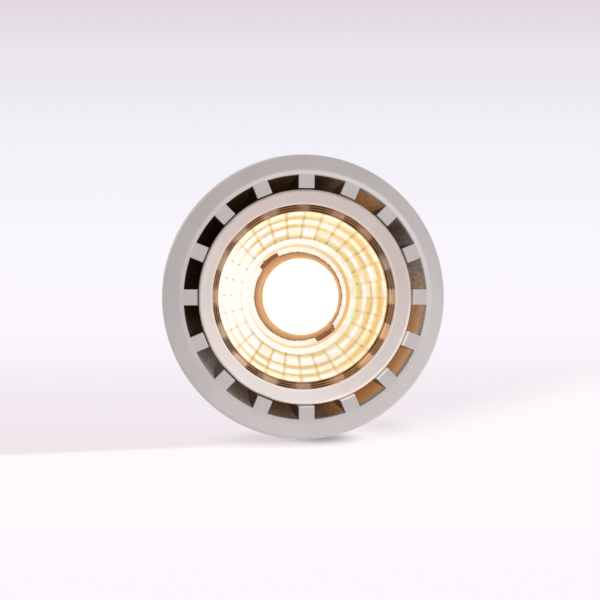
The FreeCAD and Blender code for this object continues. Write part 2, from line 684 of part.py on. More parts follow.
def led_screws():
    """Two countersunk screws that hold the LED's board on its seat."""
    screws = []
    for number, side in enumerate((1, -1), start=1):
        screw = turned("led_screw_%d" % number, [
            (ZERO, board_front + cell("screw_recess_depth")),
            (cell("screw_recess_radius"), board_front + cell("screw_recess_depth")),
            (cell("screw_recess_radius"), board_front),
            (cell("screw_head_radius"), board_front),
            (cell("screw_radius"), board_front + cell("screw_head_height")),
            (cell("screw_radius"), board_front + cell("board_thickness") + cell("screw_bite")),
            (ZERO, board_front + cell("board_thickness") + cell("screw_bite")),
        ])
        screws.append(bind(screw, Placement__Base__y=screw_circle * side))
    pair = doc.addObject("Part::Compound", "led_screws")
    pair.Links = screws
    return turn_to(pair, cell("window_angle"))


def led_wires():
    """The LED's two leads: from the solder joints through the seat and across to the driver's board."""
    wires = []
    joint_middle = (board_front - cell("joint_height") / 2).value
    turn_depth = (circuit_start + cell("lead_rise")).value
    for node, side, face in (("led_wire_positive", 1, circuit_front), ("led_wire_negative", -1, circuit_back)):
        turn = math.radians(cell("window_angle").value)
        outward = Vector(math.cos(turn), math.sin(turn), 0) * side
        hole = outward * lead_circle.value
        wires.append(bent_tube(node, [
            outward * joint_end.value + Vector(0, 0, joint_middle),
            hole + Vector(0, 0, joint_middle),
            hole + Vector(0, 0, turn_depth),
            Vector(hole.x, face.value, turn_depth),
        ], cell("lead_radius").value, cell("lead_bend").value))
    return wires


def driver_sleeve():
    """The insulating cup round the driver, with two holes for the LED's leads in its floor."""
    end = housing_length - cell("sleeve_end_gap")
    body = turned("driver_sleeve", [
        (ZERO, seat_back),
        (sleeve_outside, seat_back),
        (sleeve_outside, end),
        (sleeve_inside, end),
        (sleeve_inside, circuit_start),
        (ZERO, circuit_start),
    ])
    plate = (seat_back, cell("sleeve_wall") + cell("seat_gap"))
    drill_pair(body, "sleeve_holes", plate, lead_circle, cell("lead_hole_radius"), cell("window_angle"))
    return body


def driver():
    """The driver: a board on edge in the sleeve, with its parts on both faces."""
    front, back = circuit_front, circuit_back
    board = block("driver_board", (-cell("circuit_half_width"), back, circuit_start),
                  cell("circuit_half_width") * 2, cell("circuit_thickness"), circuit_length)
    capacitor = primitive("Cylinder", "bulk_capacitor",
                          (ZERO, front + cell("capacitor_radius") + cell("seat_gap"),
                           capacitor_start),
                          Radius=cell("capacitor_radius"), Height=cell("capacitor_length"))
    film = block("film_capacitor", (-cell("film_width") / 2, back - cell("film_depth"), film_start),
                 cell("film_width"), cell("film_depth"), cell("film_height"))
    rectifier = block("bridge_rectifier", (-cell("rectifier_width") / 2, back - cell("rectifier_depth"),
                                           rectifier_start),
                      cell("rectifier_width"), cell("rectifier_depth"), cell("rectifier_height"))
    chip = block("control_chip", (cell("chip_offset"), back - cell("chip_depth"),
                                  chip_start),
                 cell("chip_width"), cell("chip_depth"), cell("chip_height"))
    fuse = primitive("Cylinder", "fuse_resistor",
                     (cell("chip_offset") - cell("fuse_length"), back - cell("fuse_radius") - cell("seat_gap"),
                      fuse_start + cell("fuse_radius")),
                     turn=Rotation(Vector(0, 1, 0), QUARTER_TURN),
                     Radius=cell("fuse_radius"), Height=cell("fuse_length"))
    return [board, capacitor, film, rectifier, chip, fuse, *transformer(front)]


def transformer(front):
    """The driver's transformer: a ferrite frame round its winding."""
    start = circuit_start + cell("transformer_start")
    low = (-cell("transformer_width") / 2, front, start)
    frame = block("core_frame", low, cell("transformer_width"), cell("transformer_depth"),
                  cell("transformer_height"))
    window_half = cell("transformer_width") / 2 - cell("core_bar")
    window = block("core_window", (-window_half, front, start + cell("core_bar")),
                   window_half * 2, cell("transformer_depth"),
                   cell("transformer_height") - cell("core_bar") * 2)
    core = cut("transformer_core", frame, [window])
    winding_radius = smallest(cell("transformer_depth") / 2, window_half) - cell("winding_inset")
    winding = primitive("Cylinder", "transformer_winding",
                        (ZERO, front + cell("transformer_depth") / 2, start + cell("core_bar")),
                        Radius=winding_radius,
                        Height=cell("transformer_height") - cell("core_bar") * 2)
    return [core, winding]


def base_housing():
    """The cap of white plastic: a spigot in the neck, a flange, a barrel and the land round the pins."""
    flange_end = housing_length + cell("flange_thickness")
    tip_radius = sleeve_inside + cell("cap_wall")
    body = new_body("base_housing")
    revolve(body, "cap", [
        (driver_bore_radius, spigot_start + cell("seat_gap")),
        (spigot_radius, spigot_start + cell("seat_gap")),
        (spigot_radius, housing_length),
        (neck_radius, housing_length),
        (neck_radius, flange_end),
        (tip_radius + cell("cap_taper"), flange_end),
        (tip_radius, cap_end - cell("cap_rounding")),
        (tip_radius - cell("cap_rounding"), cap_end, cell("cap_rounding"), "left"),
        (ZERO, cap_end),
        (ZERO, cap_inside),
        (sleeve_inside, cap_inside),
        (sleeve_inside, flange_end),
        (driver_bore_radius, housing_length),
    ])
    half_width, half_length = cell("land_width") / 2, cell("pin_spacing") / 2
    end_radius = half_width + cell("land_bow")
    land = body.newObject("PartDesign::Pad", "land")
    land.Profile = outline(body, "land_outline", "XY_Plane", [
        (half_length, -half_width),
        (half_length, half_width, end_radius, "left"),
        (-half_length, half_width),
        (-half_length, -half_width, end_radius, "left"),
    ], cap_end)
    bind(land, Length=cell("land_height"))
    plate = (cap_inside, cell("cap_wall") + cell("land_height") + cell("seat_gap"))
    drill_pair(body, "pin_holes", plate, half_length, cell("pin_radius") + cell("seat_gap"), ZERO)
    return body


def contact_pins():
    """The two twist-lock pins: a flange inside the cap, a stem, and a wide head outside."""
    pin_end = land_end + cell("pin_length")
    head_start = pin_end - cell("pin_head_height")
    flange_radius = cell("pin_radius") + cell("pin_flange_rim")
    pins = []
    for node, side in (("contact_pin_left", -1), ("contact_pin_right", 1)):
        pin = turned(node, [
            (ZERO, pin_inner_end),
            (flange_radius, pin_inner_end),
            (flange_radius, cap_inside),
            (cell("pin_radius"), cap_inside),
            (cell("pin_radius"), head_start),
            (cell("pin_head_radius"), head_start),
            (cell("pin_head_radius"), pin_end - cell("pin_edge")),
            (cell("pin_head_radius") - cell("pin_edge"), pin_end),
            (ZERO, pin_end),
        ])
        pins.append(bind(pin, Placement__Base__x=cell("pin_spacing") * side / 2))
    return pins


def mains_wires():
    """The wires from the pins to the driver's board."""
    wires = []
    start = pin_inner_end.value
    end = (circuit_end - cell("mains_wire_inset")).value
    for node, side in (("mains_wire_left", -1), ("mains_wire_right", 1)):
        across = cell("pin_spacing").value / 2 * side
        wires.append(bent_tube(node, [
            Vector(across, 0, start), Vector(across, 0, end), Vector(across, circuit_front.value, end),
        ], cell("mains_wire_radius").value, cell("mains_wire_bend").value))
    return wires


nodes = [
    heatsink_housing(), bezel_ring(), front_lens(), reflector(), cob_board(), thermal_pad(),
    *cob_package(), led_screws(), *led_wires(), driver_sleeve(), *driver(), base_housing(),
    *contact_pins(), *mains_wires(),
]
doc.recompute()

# Nothing is written unless every object is sound
for item in doc.Objects:
    assert not {"Invalid", "Error"} & set(item.State), "%s: %s" % (item.Name, item.State)
for node in nodes:
    assert not node.Shape.isNull() and node.Shape.isValid() and node.Shape.Solids, node.Label

os.makedirs("parts", exist_ok=True)
for node in nodes:
    node.Shape.exportStep(os.path.join("parts", node.Label + ".step"))
    print("%-22s solids %d, volume %9.2f mm3" % (node.Label, len(node.Shape.Solids), node.Shape.Volume))
print(len(nodes), "nodes")
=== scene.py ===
# %% [markdown]
# # A lit twist-lock spotlight lamp
# The lamp is a round die-cast housing with slots in its face, a dished bezel, a clear cover over a faceted
# reflector with one large LED, and a white cap with two headed pins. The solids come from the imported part,
# so this scene gives them their finishes, models the reflector's pillowed facets, and adds light and a
# camera. The lamp stands on its face, so the camera of the main view looks up at the face from below.
# Lengths on the part are in millimetres, and MM makes metres of them. Those of the room are in metres.

# %% Load the part
import math

import bmesh
import bpy
from mathutils import Matrix, Vector


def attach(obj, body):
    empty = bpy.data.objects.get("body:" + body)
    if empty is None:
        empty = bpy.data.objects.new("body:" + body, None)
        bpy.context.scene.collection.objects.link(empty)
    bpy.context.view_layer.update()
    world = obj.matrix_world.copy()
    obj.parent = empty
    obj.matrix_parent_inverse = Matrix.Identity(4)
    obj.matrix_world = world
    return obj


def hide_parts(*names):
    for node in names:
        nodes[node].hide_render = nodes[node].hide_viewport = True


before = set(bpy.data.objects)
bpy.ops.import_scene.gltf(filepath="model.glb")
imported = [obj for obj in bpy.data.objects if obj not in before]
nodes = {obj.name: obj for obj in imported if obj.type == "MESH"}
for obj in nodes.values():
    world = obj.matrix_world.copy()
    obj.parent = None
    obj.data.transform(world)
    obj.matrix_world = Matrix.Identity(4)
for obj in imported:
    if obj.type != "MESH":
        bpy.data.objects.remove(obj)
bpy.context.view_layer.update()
MM = 0.001
print("nodes in the part:", len(nodes))

# %% [markdown]
# ## The camera
# The photograph was taken from about 22 cm in front of the face, a little from its left and hardly above
# it. Two measures of the face settle this: the rim, which lies behind the ribs, shows off their centre, and
# its outline is a little narrower than high. Up in the picture is the part's -Y.


# %% Camera
def placed(name, data):
    """A new object of the scene for some data."""
    made = bpy.data.objects.new(name, data)
    bpy.context.scene.collection.objects.link(made)
    return made


PICTURE = 600
DISTANCE = 216.0 * MM
YAW = math.radians(8.5)
PITCH = math.radians(0.8)
SENSOR_WIDTH = 36.0
LENS = 74.5
camera_place = DISTANCE * Vector((-math.sin(YAW), -math.sin(PITCH), -math.cos(YAW)))
aim = Vector((-1.2, 0.49, 0.0)) * MM
ahead = (aim - camera_place).normalized()
sideways = ahead.cross(Vector((0.0, -1.0, 0.0))).normalized()
upwards = sideways.cross(ahead)

camera_data = bpy.data.cameras.new("photo_camera")
camera_data.sensor_width = SENSOR_WIDTH
camera_data.lens = LENS
camera_data.clip_start = 0.005
camera = placed("photo_camera", camera_data)
turned = Matrix((sideways, upwards, -ahead)).transposed()
camera.matrix_world = Matrix.Translation(camera_place) @ turned.to_4x4()
bpy.context.scene.camera = camera
FOCAL_PIXELS = LENS / SENSOR_WIDTH * PICTURE
print("focal length in pixels:", round(FOCAL_PIXELS))

# %% [markdown]
# ## Small tools for materials
# A material is a chain of nodes. These helpers add a node, link what feeds it and give back its output, so
# that each finish below reads as a recipe. Colours are written as they look on a screen, from 0 to 255, and
# turned into the linear values that the shader works in.


# %% Helpers for node trees
def linear(red, green, blue):
    """A screen colour as the shader's linear colour."""
    values = [c / 255.0 for c in (red, green, blue)]
    return tuple(v / 12.92 if v <= 0.04045 else ((v + 0.055) / 1.055) ** 2.4 for v in values) + (1.0,)


def put(tree, socket, value):
    """Links a socket or sets a value."""
    if isinstance(value, bpy.types.NodeSocket):
        tree.links.new(value, socket)
    else:
        socket.default_value = value


def add(tree, kind, feeds=None, **settings):
    """Adds a node, sets its settings and fills its inputs."""
    new = tree.nodes.new(kind)
    for name, value in settings.items():
        setattr(new, name, value)
    for name, value in (feeds or {}).items():
        put(tree, new.inputs[name], value)
    return new


print("a screen's middle grey in the shader:", round(linear(128, 128, 128)[0], 3))


# %% [markdown]
# ## Arithmetic in nodes
# A finish is mostly a question of where: this far from the axis, this deep, on this side. Each answer is a
# mask from 0 to 1. fade makes one with a soft edge, product keeps what several masks share, and a ramp
# reads a value or a colour off a list of places.


# %% Helpers for values
def calc(tree, operation, *values):
    """One arithmetic step."""
    return add(tree, "ShaderNodeMath", dict(enumerate(values)), operation=operation).outputs[0]


def vector(tree, operation, *values):
    """One step with vectors, which gives a vector, or a value where it measures."""
    made = add(tree, "ShaderNodeVectorMath", dict(enumerate(values)), operation=operation)
    return made.outputs["Value" if operation in ("LENGTH", "DOT_PRODUCT") else "Vector"]


def product(tree, first, *others):
    """Several values multiplied, one after the other."""
    for other in others:
        first = calc(tree, "MULTIPLY", first, other)
    return first


def fade(tree, value, start, end, low=0.0, high=1.0):
    """A smooth step of a value from low to high between start and end."""
    feeds = {"Value": value, "From Min": start, "From Max": end, "To Min": low, "To Max": high}
    return add(tree, "ShaderNodeMapRange", feeds, interpolation_type="SMOOTHSTEP").outputs["Result"]


def noise(tree, point, scale, detail, roughness=0.5):
    """A cloudy value from 0 to 1."""
    feeds = {"Vector": point, "Scale": scale, "Detail": detail, "Roughness": roughness}
    return add(tree, "ShaderNodeTexNoise", feeds).outputs[0]


def waves(tree, value, rate):
    """Even waves along a value, which repeat after tau / rate."""
    return calc(tree, "SINE", calc(tree, "MULTIPLY", value, rate))


print("helpers for values are ready")

# %% Helpers for colours
BLACK = (0.0, 0.0, 0.0, 1.0)


def blend(tree, factor, first, second):
    """Two colours mixed by a factor."""
    mixed = add(tree, "ShaderNodeMix", data_type="RGBA")
    put(tree, mixed.inputs["Factor"], factor)
    put(tree, mixed.inputs[6], first)
    put(tree, mixed.inputs[7], second)
    return mixed.outputs[2]


def ramp(tree, factor, stops, interpolation="LINEAR"):
    """A colour ramp from a list of (place, colour)."""
    made = add(tree, "ShaderNodeValToRGB", {"Fac": factor})
    made.color_ramp.interpolation = interpolation
    elements = made.color_ramp.elements
    while len(elements) < len(stops):
        elements.new(1.0)
    for element, (place, colour) in zip(elements, stops):
        element.position = place
        element.color = colour
    return made.outputs["Color"]


def levels(tree, factor, *stops):
    """A ramp of plain values from pairs of (place, value)."""
    return ramp(tree, factor, [(place, (value, value, value, 1.0)) for place, value in stops])


print("black to the shader:", BLACK)

# %% [markdown]
# ## Places on a round lamp
# Nearly every pattern goes round the lamp's axis: slots, ribs, facets and lathe lines. One node group turns
# the object's own coordinates into millimetres from the axis, a share of a full turn, and depth behind the
# face. In the main view the turn runs clockwise from the right.


# %% Node group: round coordinates
def group(name, inputs, outputs):
    """An empty shader node group with its sockets."""
    tree = bpy.data.node_groups.new(name, "ShaderNodeTree")
    for label, kind, value in inputs:
        socket = tree.interface.new_socket(label, in_out="INPUT", socket_type=kind)
        socket.default_value = value
    for label, kind in outputs:
        tree.interface.new_socket(label, in_out="OUTPUT", socket_type=kind)
    return tree, tree.nodes.new("NodeGroupInput"), tree.nodes.new("NodeGroupOutput")


round_places, _, places_out = group(
    "round_places", [], [("Point", "NodeSocketVector"), ("Radius", "NodeSocketFloat"),
                         ("Turn", "NodeSocketFloat"), ("Depth", "NodeSocketFloat")])
own = add(round_places, "ShaderNodeTexCoord").outputs["Object"]
point = add(round_places, "ShaderNodeVectorMath", {0: own, "Scale": 1.0 / MM}, operation="SCALE").outputs[0]
parts = add(round_places, "ShaderNodeSeparateXYZ", {0: point}).outputs
squares = calc(round_places, "MULTIPLY_ADD", parts[0], parts[0], product(round_places, parts[1], parts[1]))
angle = calc(round_places, "ARCTAN2", parts[1], parts[0])
turns = calc(round_places, "FRACT", calc(round_places, "DIVIDE", angle, math.tau))
for socket, value in zip(places_out.inputs, (point, calc(round_places, "SQRT", squares), turns, parts[2])):
    put(round_places, socket, value)
print("round_places gives:", [socket.name for socket in places_out.inputs if socket.name])

# %% [markdown]
# ## Grain and tone that every surface has
# Nothing on a real lamp is one flat colour. A cast, moulded or drawn piece has a fine grain that breaks up
# its gloss, and a slower change of tone from handling. The group gives both, and each finish sets their
# scale.

# %% Node group: surface grain
surface_grain, grain_in, grain_out = group(
    "surface_grain",
    [("Point", "NodeSocketVector", (0.0, 0.0, 0.0)), ("Grain scale", "NodeSocketFloat", 4.0),
     ("Tone scale", "NodeSocketFloat", 0.25)],
    [("Grain", "NodeSocketFloat"), ("Tone", "NodeSocketFloat")])
given = grain_in.outputs
fine = noise(surface_grain, given["Point"], given["Grain scale"], 4.0, 0.6)
slow = noise(surface_grain, given["Point"], given["Tone scale"], 3.0, 0.55)
put(surface_grain, grain_out.inputs["Grain"], fine)
put(surface_grain, grain_out.inputs["Tone"], fade(surface_grain, slow, 0.3, 0.7))
print("surface_grain gives:", [socket.name for socket in grain_out.inputs if socket.name])

# %% [markdown]
# ## How each finish starts
# Every material begins in the same way: the main shader, the round coordinates and the grain. More helpers
# finish it: two tones of a colour, a roughness that the grain varies, a bump whose depth is a real depth,
# light of its own, and the step that hands the material to the nodes of the part through their slots. What
# is the same all over is set on the shader itself.


# %% Start of a material
def start(name, grain_scale, tone_scale):
    """A new material with its places and grain, and its main shader."""
    material = bpy.data.materials.new(name)
    material.use_nodes = True
    tree = material.node_tree
    places = add(tree, "ShaderNodeGroup", node_tree=round_places).outputs
    grain = add(tree, "ShaderNodeGroup", node_tree=surface_grain)
    put(tree, grain.inputs["Point"], places["Point"])
    put(tree, grain.inputs["Grain scale"], grain_scale)
    put(tree, grain.inputs["Tone scale"], tone_scale)
    return material, tree, tree.nodes["Principled BSDF"], places, grain.outputs


print("each material starts with", round_places.name, "and", surface_grain.name)


# %% End of a material
def tones(tree, shader, grain, first, second):
    """A base colour that drifts between two screen colours."""
    put(tree, shader.inputs["Base Color"], blend(tree, grain["Tone"], linear(*first), linear(*second)))


def relief(tree, shader, height, depth):
    """A bump of a given depth in millimetres."""
    bump = add(tree, "ShaderNodeBump", {"Height": height, "Distance": depth * MM, "Strength": 1.0})
    put(tree, shader.inputs["Normal"], bump.outputs[0])


def gloss(tree, shader, grain, smooth, rough):
    """A roughness that the grain varies between two values."""
    put(tree, shader.inputs["Roughness"], fade(tree, grain["Grain"], 0.3, 0.7, smooth, rough))


def emit(tree, shader, colour, strength):
    """Light of its own, in a colour that may vary."""
    put(tree, shader.inputs["Emission Color"], colour)
    shader.inputs["Emission Strength"].default_value = strength


def dress(material, *names):
    """Gives parts of the lamp their finish."""
    for name in names:
        for place in nodes[name].material_slots:
            place.material = material
    print(material.name, "has", len(material.node_tree.nodes), "nodes and is on", ", ".join(names))


print("parts to finish:", len(nodes))


# %% [markdown]
# ## Rounded edges
# Cast, turned and moulded pieces have no razor edges: each edge is broken by a tenth or two of a
# millimetre, and this is what catches the light. The part's meshes are loose triangles, so a Weld joins
# them first, and then a Bevel rounds only the edges that turn sharply.


# %% Soft edges
def soften(width, *names):
    """Rounds the sharp edges of parts by a width in millimetres."""
    for name in names:
        weld = nodes[name].modifiers.new("join", "WELD")
        weld.merge_threshold = 0.0005 * MM
        edge = nodes[name].modifiers.new("edge", "BEVEL")
        edge.width = width * MM
        edge.segments = 2
        edge.limit_method = "ANGLE"
        edge.angle_limit = math.radians(38.0)
        edge.use_clamp_overlap = True
        edge.harden_normals = True
        print(name, "has edges rounded by", width, "mm")


soften(0.12, "heatsink_housing")
soften(0.08, "bezel_ring", "base_housing", "contact_pin_left", "contact_pin_right")

# %% [markdown]
# ## The housing's painted casting
# The real housing is a die casting under satin silver-grey paint. The paint is rubbed paler on the crests
# of the fins. The rolled edge outside the slots is painted paler as a painted highlight, most on the upper
# side of the face. The crests follow the bell's curve, so their radius is worked out from the depth.
# Inside the pockets, within the casting's outer skin, the base colour is painted shade: dark gritty metal,
# nearly black.

# %% Housing: paint
SKIN_DEPTHS = (7.6, 27.0)
SKIN_RADII = ((0.0, 22.3), (0.5, 20.9), (1.0, 17.5))
POCKET_END = 27.4
CREST_START, CREST_RADIUS, CREST_FALL = 6.0, 24.5, -0.0095
BAND_END = (7.0, 7.7)
ROLL_INNER, ROLL_OUTER = (21.25, 21.6), (22.5, 21.85)

housing, tree, shader, places, grain = start("housing_paint", 5.0, 0.12)
radius, turn, depth = places["Radius"], places["Turn"], places["Depth"]
skin = levels(tree, fade(tree, depth, *SKIN_DEPTHS), *SKIN_RADII)
within = product(tree, calc(tree, "LESS_THAN", radius, skin), calc(tree, "LESS_THAN", depth, POCKET_END))
slot_side = product(tree, within, fade(tree, depth, 0.1, 1.7))
paint = blend(tree, product(tree, grain["Tone"], 0.5), linear(197, 190, 187), linear(189, 182, 179))

past_start = calc(tree, "MAXIMUM", calc(tree, "SUBTRACT", depth, CREST_START), 0.0)
crest = calc(tree, "MULTIPLY_ADD", calc(tree, "POWER", past_start, 2.0), CREST_FALL, CREST_RADIUS)
rubbed = product(tree, fade(tree, calc(tree, "SUBTRACT", radius, crest), -0.45, -0.1),
                 fade(tree, grain["Tone"], 0.1, 0.9, 0.35, 1.0), fade(tree, depth, *BAND_END))
paint = blend(tree, product(tree, rubbed, 0.6), paint, linear(216, 211, 208))
# Painted highlight: a paler paint on the rolled edge outside the slots, strongest on the upper side of the
# face.
upper_side = levels(tree, turn, (0.0, 0.6), (0.1, 0.15), (0.5, 0.15), (0.7, 0.8), (0.8, 1.0), (0.9, 1.0),
                    (1.0, 0.6))
rolled = product(tree, fade(tree, radius, *ROLL_INNER), fade(tree, radius, *ROLL_OUTER),
                 fade(tree, depth, 2.0, 1.0), upper_side)
paint = blend(tree, product(tree, rolled, 0.6), paint, linear(234, 229, 227))
grit = noise(tree, places["Point"], 1.9, 5.0, 0.75)
# Painted shade: the base colour inside the pockets is dark gritty metal, nearly black.
inside = blend(tree, fade(tree, grit, 0.4, 0.6), linear(14, 8, 5), linear(40, 30, 23))
put(tree, shader.inputs["Base Color"], blend(tree, slot_side, paint, inside))
print("radius of the crests at 30 mm:", round(CREST_RADIUS + CREST_FALL * (30.0 - CREST_START) ** 2, 1))

# %% [markdown]
# ## The casting's gloss and relief
# Satin paint shines less where grain breaks it up, a little more where it is rubbed, and hardly at all in
# the pockets. Faint lathe lines go round the rim, and the paint's peel is a slower wave than the grain.

# %% Housing: gloss and relief
shader.inputs["Metallic"].default_value = 0.1
shader.inputs["Specular IOR Level"].default_value = 0.4
satin = fade(tree, grain["Grain"], 0.3, 0.7, 0.42, 0.55)
satin = calc(tree, "MULTIPLY_ADD", rubbed, -0.12, satin)
put(tree, shader.inputs["Roughness"], calc(tree, "MULTIPLY_ADD", slot_side, 0.45, satin))
peel = noise(tree, places["Point"], 2.2, 1.0)
height = calc(tree, "MULTIPLY_ADD", peel, 1.6, grain["Grain"])
relief(tree, shader, calc(tree, "MULTIPLY_ADD", waves(tree, radius, 38.0), 0.12, height), 0.014)
print("what varies in the paint:", [socket.name for socket in shader.inputs if socket.is_linked])

# %% [markdown]
# ## The light inside the slots
# Brown light from the LED creeps into the slots. It glows on the outer wall near the face and dies away in
# the depth, so that slots seen towards their outer wall look brown and the others look black. Its colour
# goes round the lamp: orange low on the right, grey and gritty low on the left, nearly black above left.
# The ribs glow too where they show under the cover's edge. The colour is painted as an emission, because
# tracing it takes too long.

# %% Housing: colour of the light in the slots
SLOT_LIGHT = [
    (0.0, (176, 140, 110)), (0.03, (196, 154, 118)), (0.093, (212, 160, 118)), (0.16, (186, 134, 88)),
    (0.22, (98, 72, 54)), (0.3, (108, 84, 68)), (0.36, (138, 120, 110)), (0.40, (166, 150, 144)),
    (0.44, (84, 66, 54)), (0.47, (52, 34, 20)), (0.6, (28, 14, 6)), (0.72, (56, 36, 16)),
    (0.78, (44, 31, 22)), (0.844, (160, 118, 84)), (0.9, (76, 64, 56)), (0.966, (144, 126, 114)),
    (1.0, (176, 140, 110))]
around = ramp(tree, turn, [(place, linear(*colour)) for place, colour in SLOT_LIGHT])
ember = levels(tree, turn, (0.0, 0.35), (0.03, 0.8), (0.09, 1.0), (0.17, 1.0), (0.22, 0.12), (0.3, 0.0),
               (0.8, 0.0), (0.85, 0.4), (0.9, 0.0), (0.966, 0.05), (1.0, 0.35))
deep_ember = product(tree, ember, fade(tree, depth, 2.5, 7.0), fade(tree, radius, 17.0, 17.6, 0.0, 0.6))
around = blend(tree, deep_ember, around, linear(206, 130, 74))
ashen = product(tree, ember, fade(tree, depth, 3.2, 1.4), 0.7)
around = blend(tree, ashen, around, linear(140, 124, 114))
print("colours of light round the lamp:", len(SLOT_LIGHT))

# %% Housing: how far the light reaches
CREEP_LENGTH = 14.0
FLAT = (1.0, 1.0, 0.0)
straight = add(tree, "ShaderNodeTexCoord").outputs["Normal"]
outward = vector(tree, "NORMALIZE", vector(tree, "MULTIPLY", places["Point"], FLAT))
facing = vector(tree, "DOT_PRODUCT", straight, outward)
outer_wall = fade(tree, facing, -0.2, -0.7)
creep = calc(tree, "POWER", math.e, calc(tree, "DIVIDE", depth, -CREEP_LENGTH))
mottle = fade(tree, grit, 0.38, 0.62, 0.35, 1.4)
evened = calc(tree, "MAXIMUM", product(tree, ember, 0.85), 0.25)
mottle = calc(tree, "MULTIPLY_ADD", calc(tree, "SUBTRACT", 0.9, mottle), evened, mottle)
creep = product(tree, calc(tree, "MAXIMUM", product(tree, outer_wall, creep), 0.2), mottle)
glow = product(tree, creep, product(tree, within, fade(tree, depth, 0.3, 1.9)))
under_cover = product(tree, fade(tree, radius, 17.3, 16.9), fade(tree, depth, 3.6, 3.9),
                      fade(tree, depth, 12.5, 11.0))
glow = calc(tree, "ADD", glow, product(tree, under_cover, 0.55))
print("light left at 20 mm:", round(math.exp(-20.0 / CREEP_LENGTH), 2))

# %% [markdown]
# ## The gap between bezel and ribs
# The ribs step down just outside the bezel. Above left that step lies in a thin black shadow. Low on the
# right the light falls straight into the gap and fills it, on the rib's side and on the bezel's.


# %% Housing: light on the ribs' steps
def lit_side(tree, turn):
    """1 on the side of the face that light fills, low on the right, and 0 on the far side."""
    return levels(tree, turn, (0.0, 0.3), (0.04, 1.0), (0.2, 1.0), (0.3, 0.0), (0.93, 0.0), (1.0, 0.3))


lit = blend(tree, glow, BLACK, around)
step = product(tree, fade(tree, radius, 19.35, 19.1), fade(tree, radius, 17.9, 18.3),
               fade(tree, depth, 3.6, 2.6), lit_side(tree, turn))
lit = blend(tree, product(tree, step, 0.8), lit, linear(172, 160, 154))
emit(tree, shader, lit, 1.0)
dress(housing, "heatsink_housing")

# %% [markdown]
# ## The bezel
# The dished ring that holds the clear cover is a turned part with the same paint, a little paler and
# warmer: that tint is painted light from the lamp's own warm glow. The lamp's own light falls on its slope,
# most below and to the left, and on its thin lip. Its skirt stands in the dark of the slots, with a
# near-black base colour as painted shade, apart from the side where painted light fills the gap beside a
# rib.

# %% Bezel: paint
SKIRT_RADII = (18.55, 18.75)
bezel, tree, shader, places, grain = start("bezel_paint", 6.0, 0.15)
radius, turn, depth = places["Radius"], places["Turn"], places["Depth"]
# The bezel's warm pale base colour is painted light from the lamp's own glow.
pale = blend(tree, grain["Tone"], linear(199, 184, 179), linear(193, 179, 173))
# Painted shade: the skirt deep in the slots gets a near-black base colour.
skirt = product(tree, fade(tree, radius, *SKIRT_RADII), fade(tree, depth, 0.75, 1.1))
put(tree, shader.inputs["Base Color"], blend(tree, skirt, pale, linear(30, 24, 20)))
gloss(tree, shader, grain, 0.36, 0.5)
relief(tree, shader, calc(tree, "MULTIPLY_ADD", waves(tree, radius, 44.0), 0.1, grain["Grain"]), 0.01)
print("lathe lines on the bezel are", round(math.tau / 44.0, 2), "mm apart")

# %% Bezel: light on it
RIBS = 16.0


def off_middle(tree, value):
    """How far a value is from the middle between two whole numbers."""
    return calc(tree, "ABSOLUTE", calc(tree, "SUBTRACT", calc(tree, "FRACT", value), 0.5))


def from_rib(tree, turn):
    """How far a place is from the nearest rib's middle, as a share of the ribs' spacing."""
    return off_middle(tree, calc(tree, "MULTIPLY_ADD", turn, RIBS, 0.5))


lip = product(tree, fade(tree, radius, 16.75, 16.3), 0.16)
slope = product(tree, fade(tree, radius, 18.75, 18.35), fade(tree, depth, 2.2, 1.8))
spill = levels(tree, turn, (0.0, 0.15), (0.12, 0.26), (0.25, 0.36), (0.38, 0.32), (0.5, 0.16), (0.62, 0.05),
               (0.76, 0.01), (0.9, 0.07), (1.0, 0.15))
spilled = calc(tree, "MULTIPLY_ADD", spill, slope, lip)
filled = lit_side(tree, turn)
beside_rib = product(tree, skirt, fade(tree, from_rib(tree, turn), 0.26, 0.2), filled)
brim = product(tree, fade(tree, radius, 18.3, 18.55), fade(tree, depth, 1.0, 0.7), filled, 0.28)
spilled = calc(tree, "ADD", spilled, calc(tree, "MULTIPLY_ADD", beside_rib, 0.38, brim))
emit(tree, shader, blend(tree, spilled, BLACK, linear(248, 244, 240)), 1.0)
dress(bezel, "bezel_ring")

# %% [markdown]
# ## The clear cover
# It is polished acrylic. The moulding's edge, under the bezel, has fine rings, and painted light on the
# cover's front makes them catch the light: that is all one sees of the cover, apart from its gloss. The same
# painted light and painted shade make the edge look pale behind each rib and dark between the ribs, with
# ragged ends. The pale parts are palest on the left, and above left the dark ones turn copper. All this is
# drawn on the cover's front only: drawn on both faces, the rings would show twice.

# %% Clear cover: glass and rings
COVER_EDGE = (15.25, 15.45)
cover, tree, shader, places, grain = start("clear_cover", 1.5, 0.1)
radius, turn, depth = places["Radius"], places["Turn"], places["Depth"]
shader.inputs["Base Color"].default_value = (1.0, 1.0, 1.0, 1.0)
shader.inputs["Transmission Weight"].default_value = 1.0
shader.inputs["IOR"].default_value = 1.3
put(tree, shader.inputs["Roughness"], fade(tree, grain["Tone"], 0.0, 1.0, 0.0, 0.015))
relief(tree, shader, product(tree, waves(tree, radius, 18.0), fade(tree, radius, 15.1, 15.4)), 0.012)
print("rings moulded in the cover are", round(math.tau / 18.0, 2), "mm apart")


# %% Clear cover: light in its edge
def shake(tree, value, cloud, amount):
    """A value moved to and fro by a cloudy one."""
    return calc(tree, "MULTIPLY_ADD", calc(tree, "SUBTRACT", cloud, 0.5), amount, value)


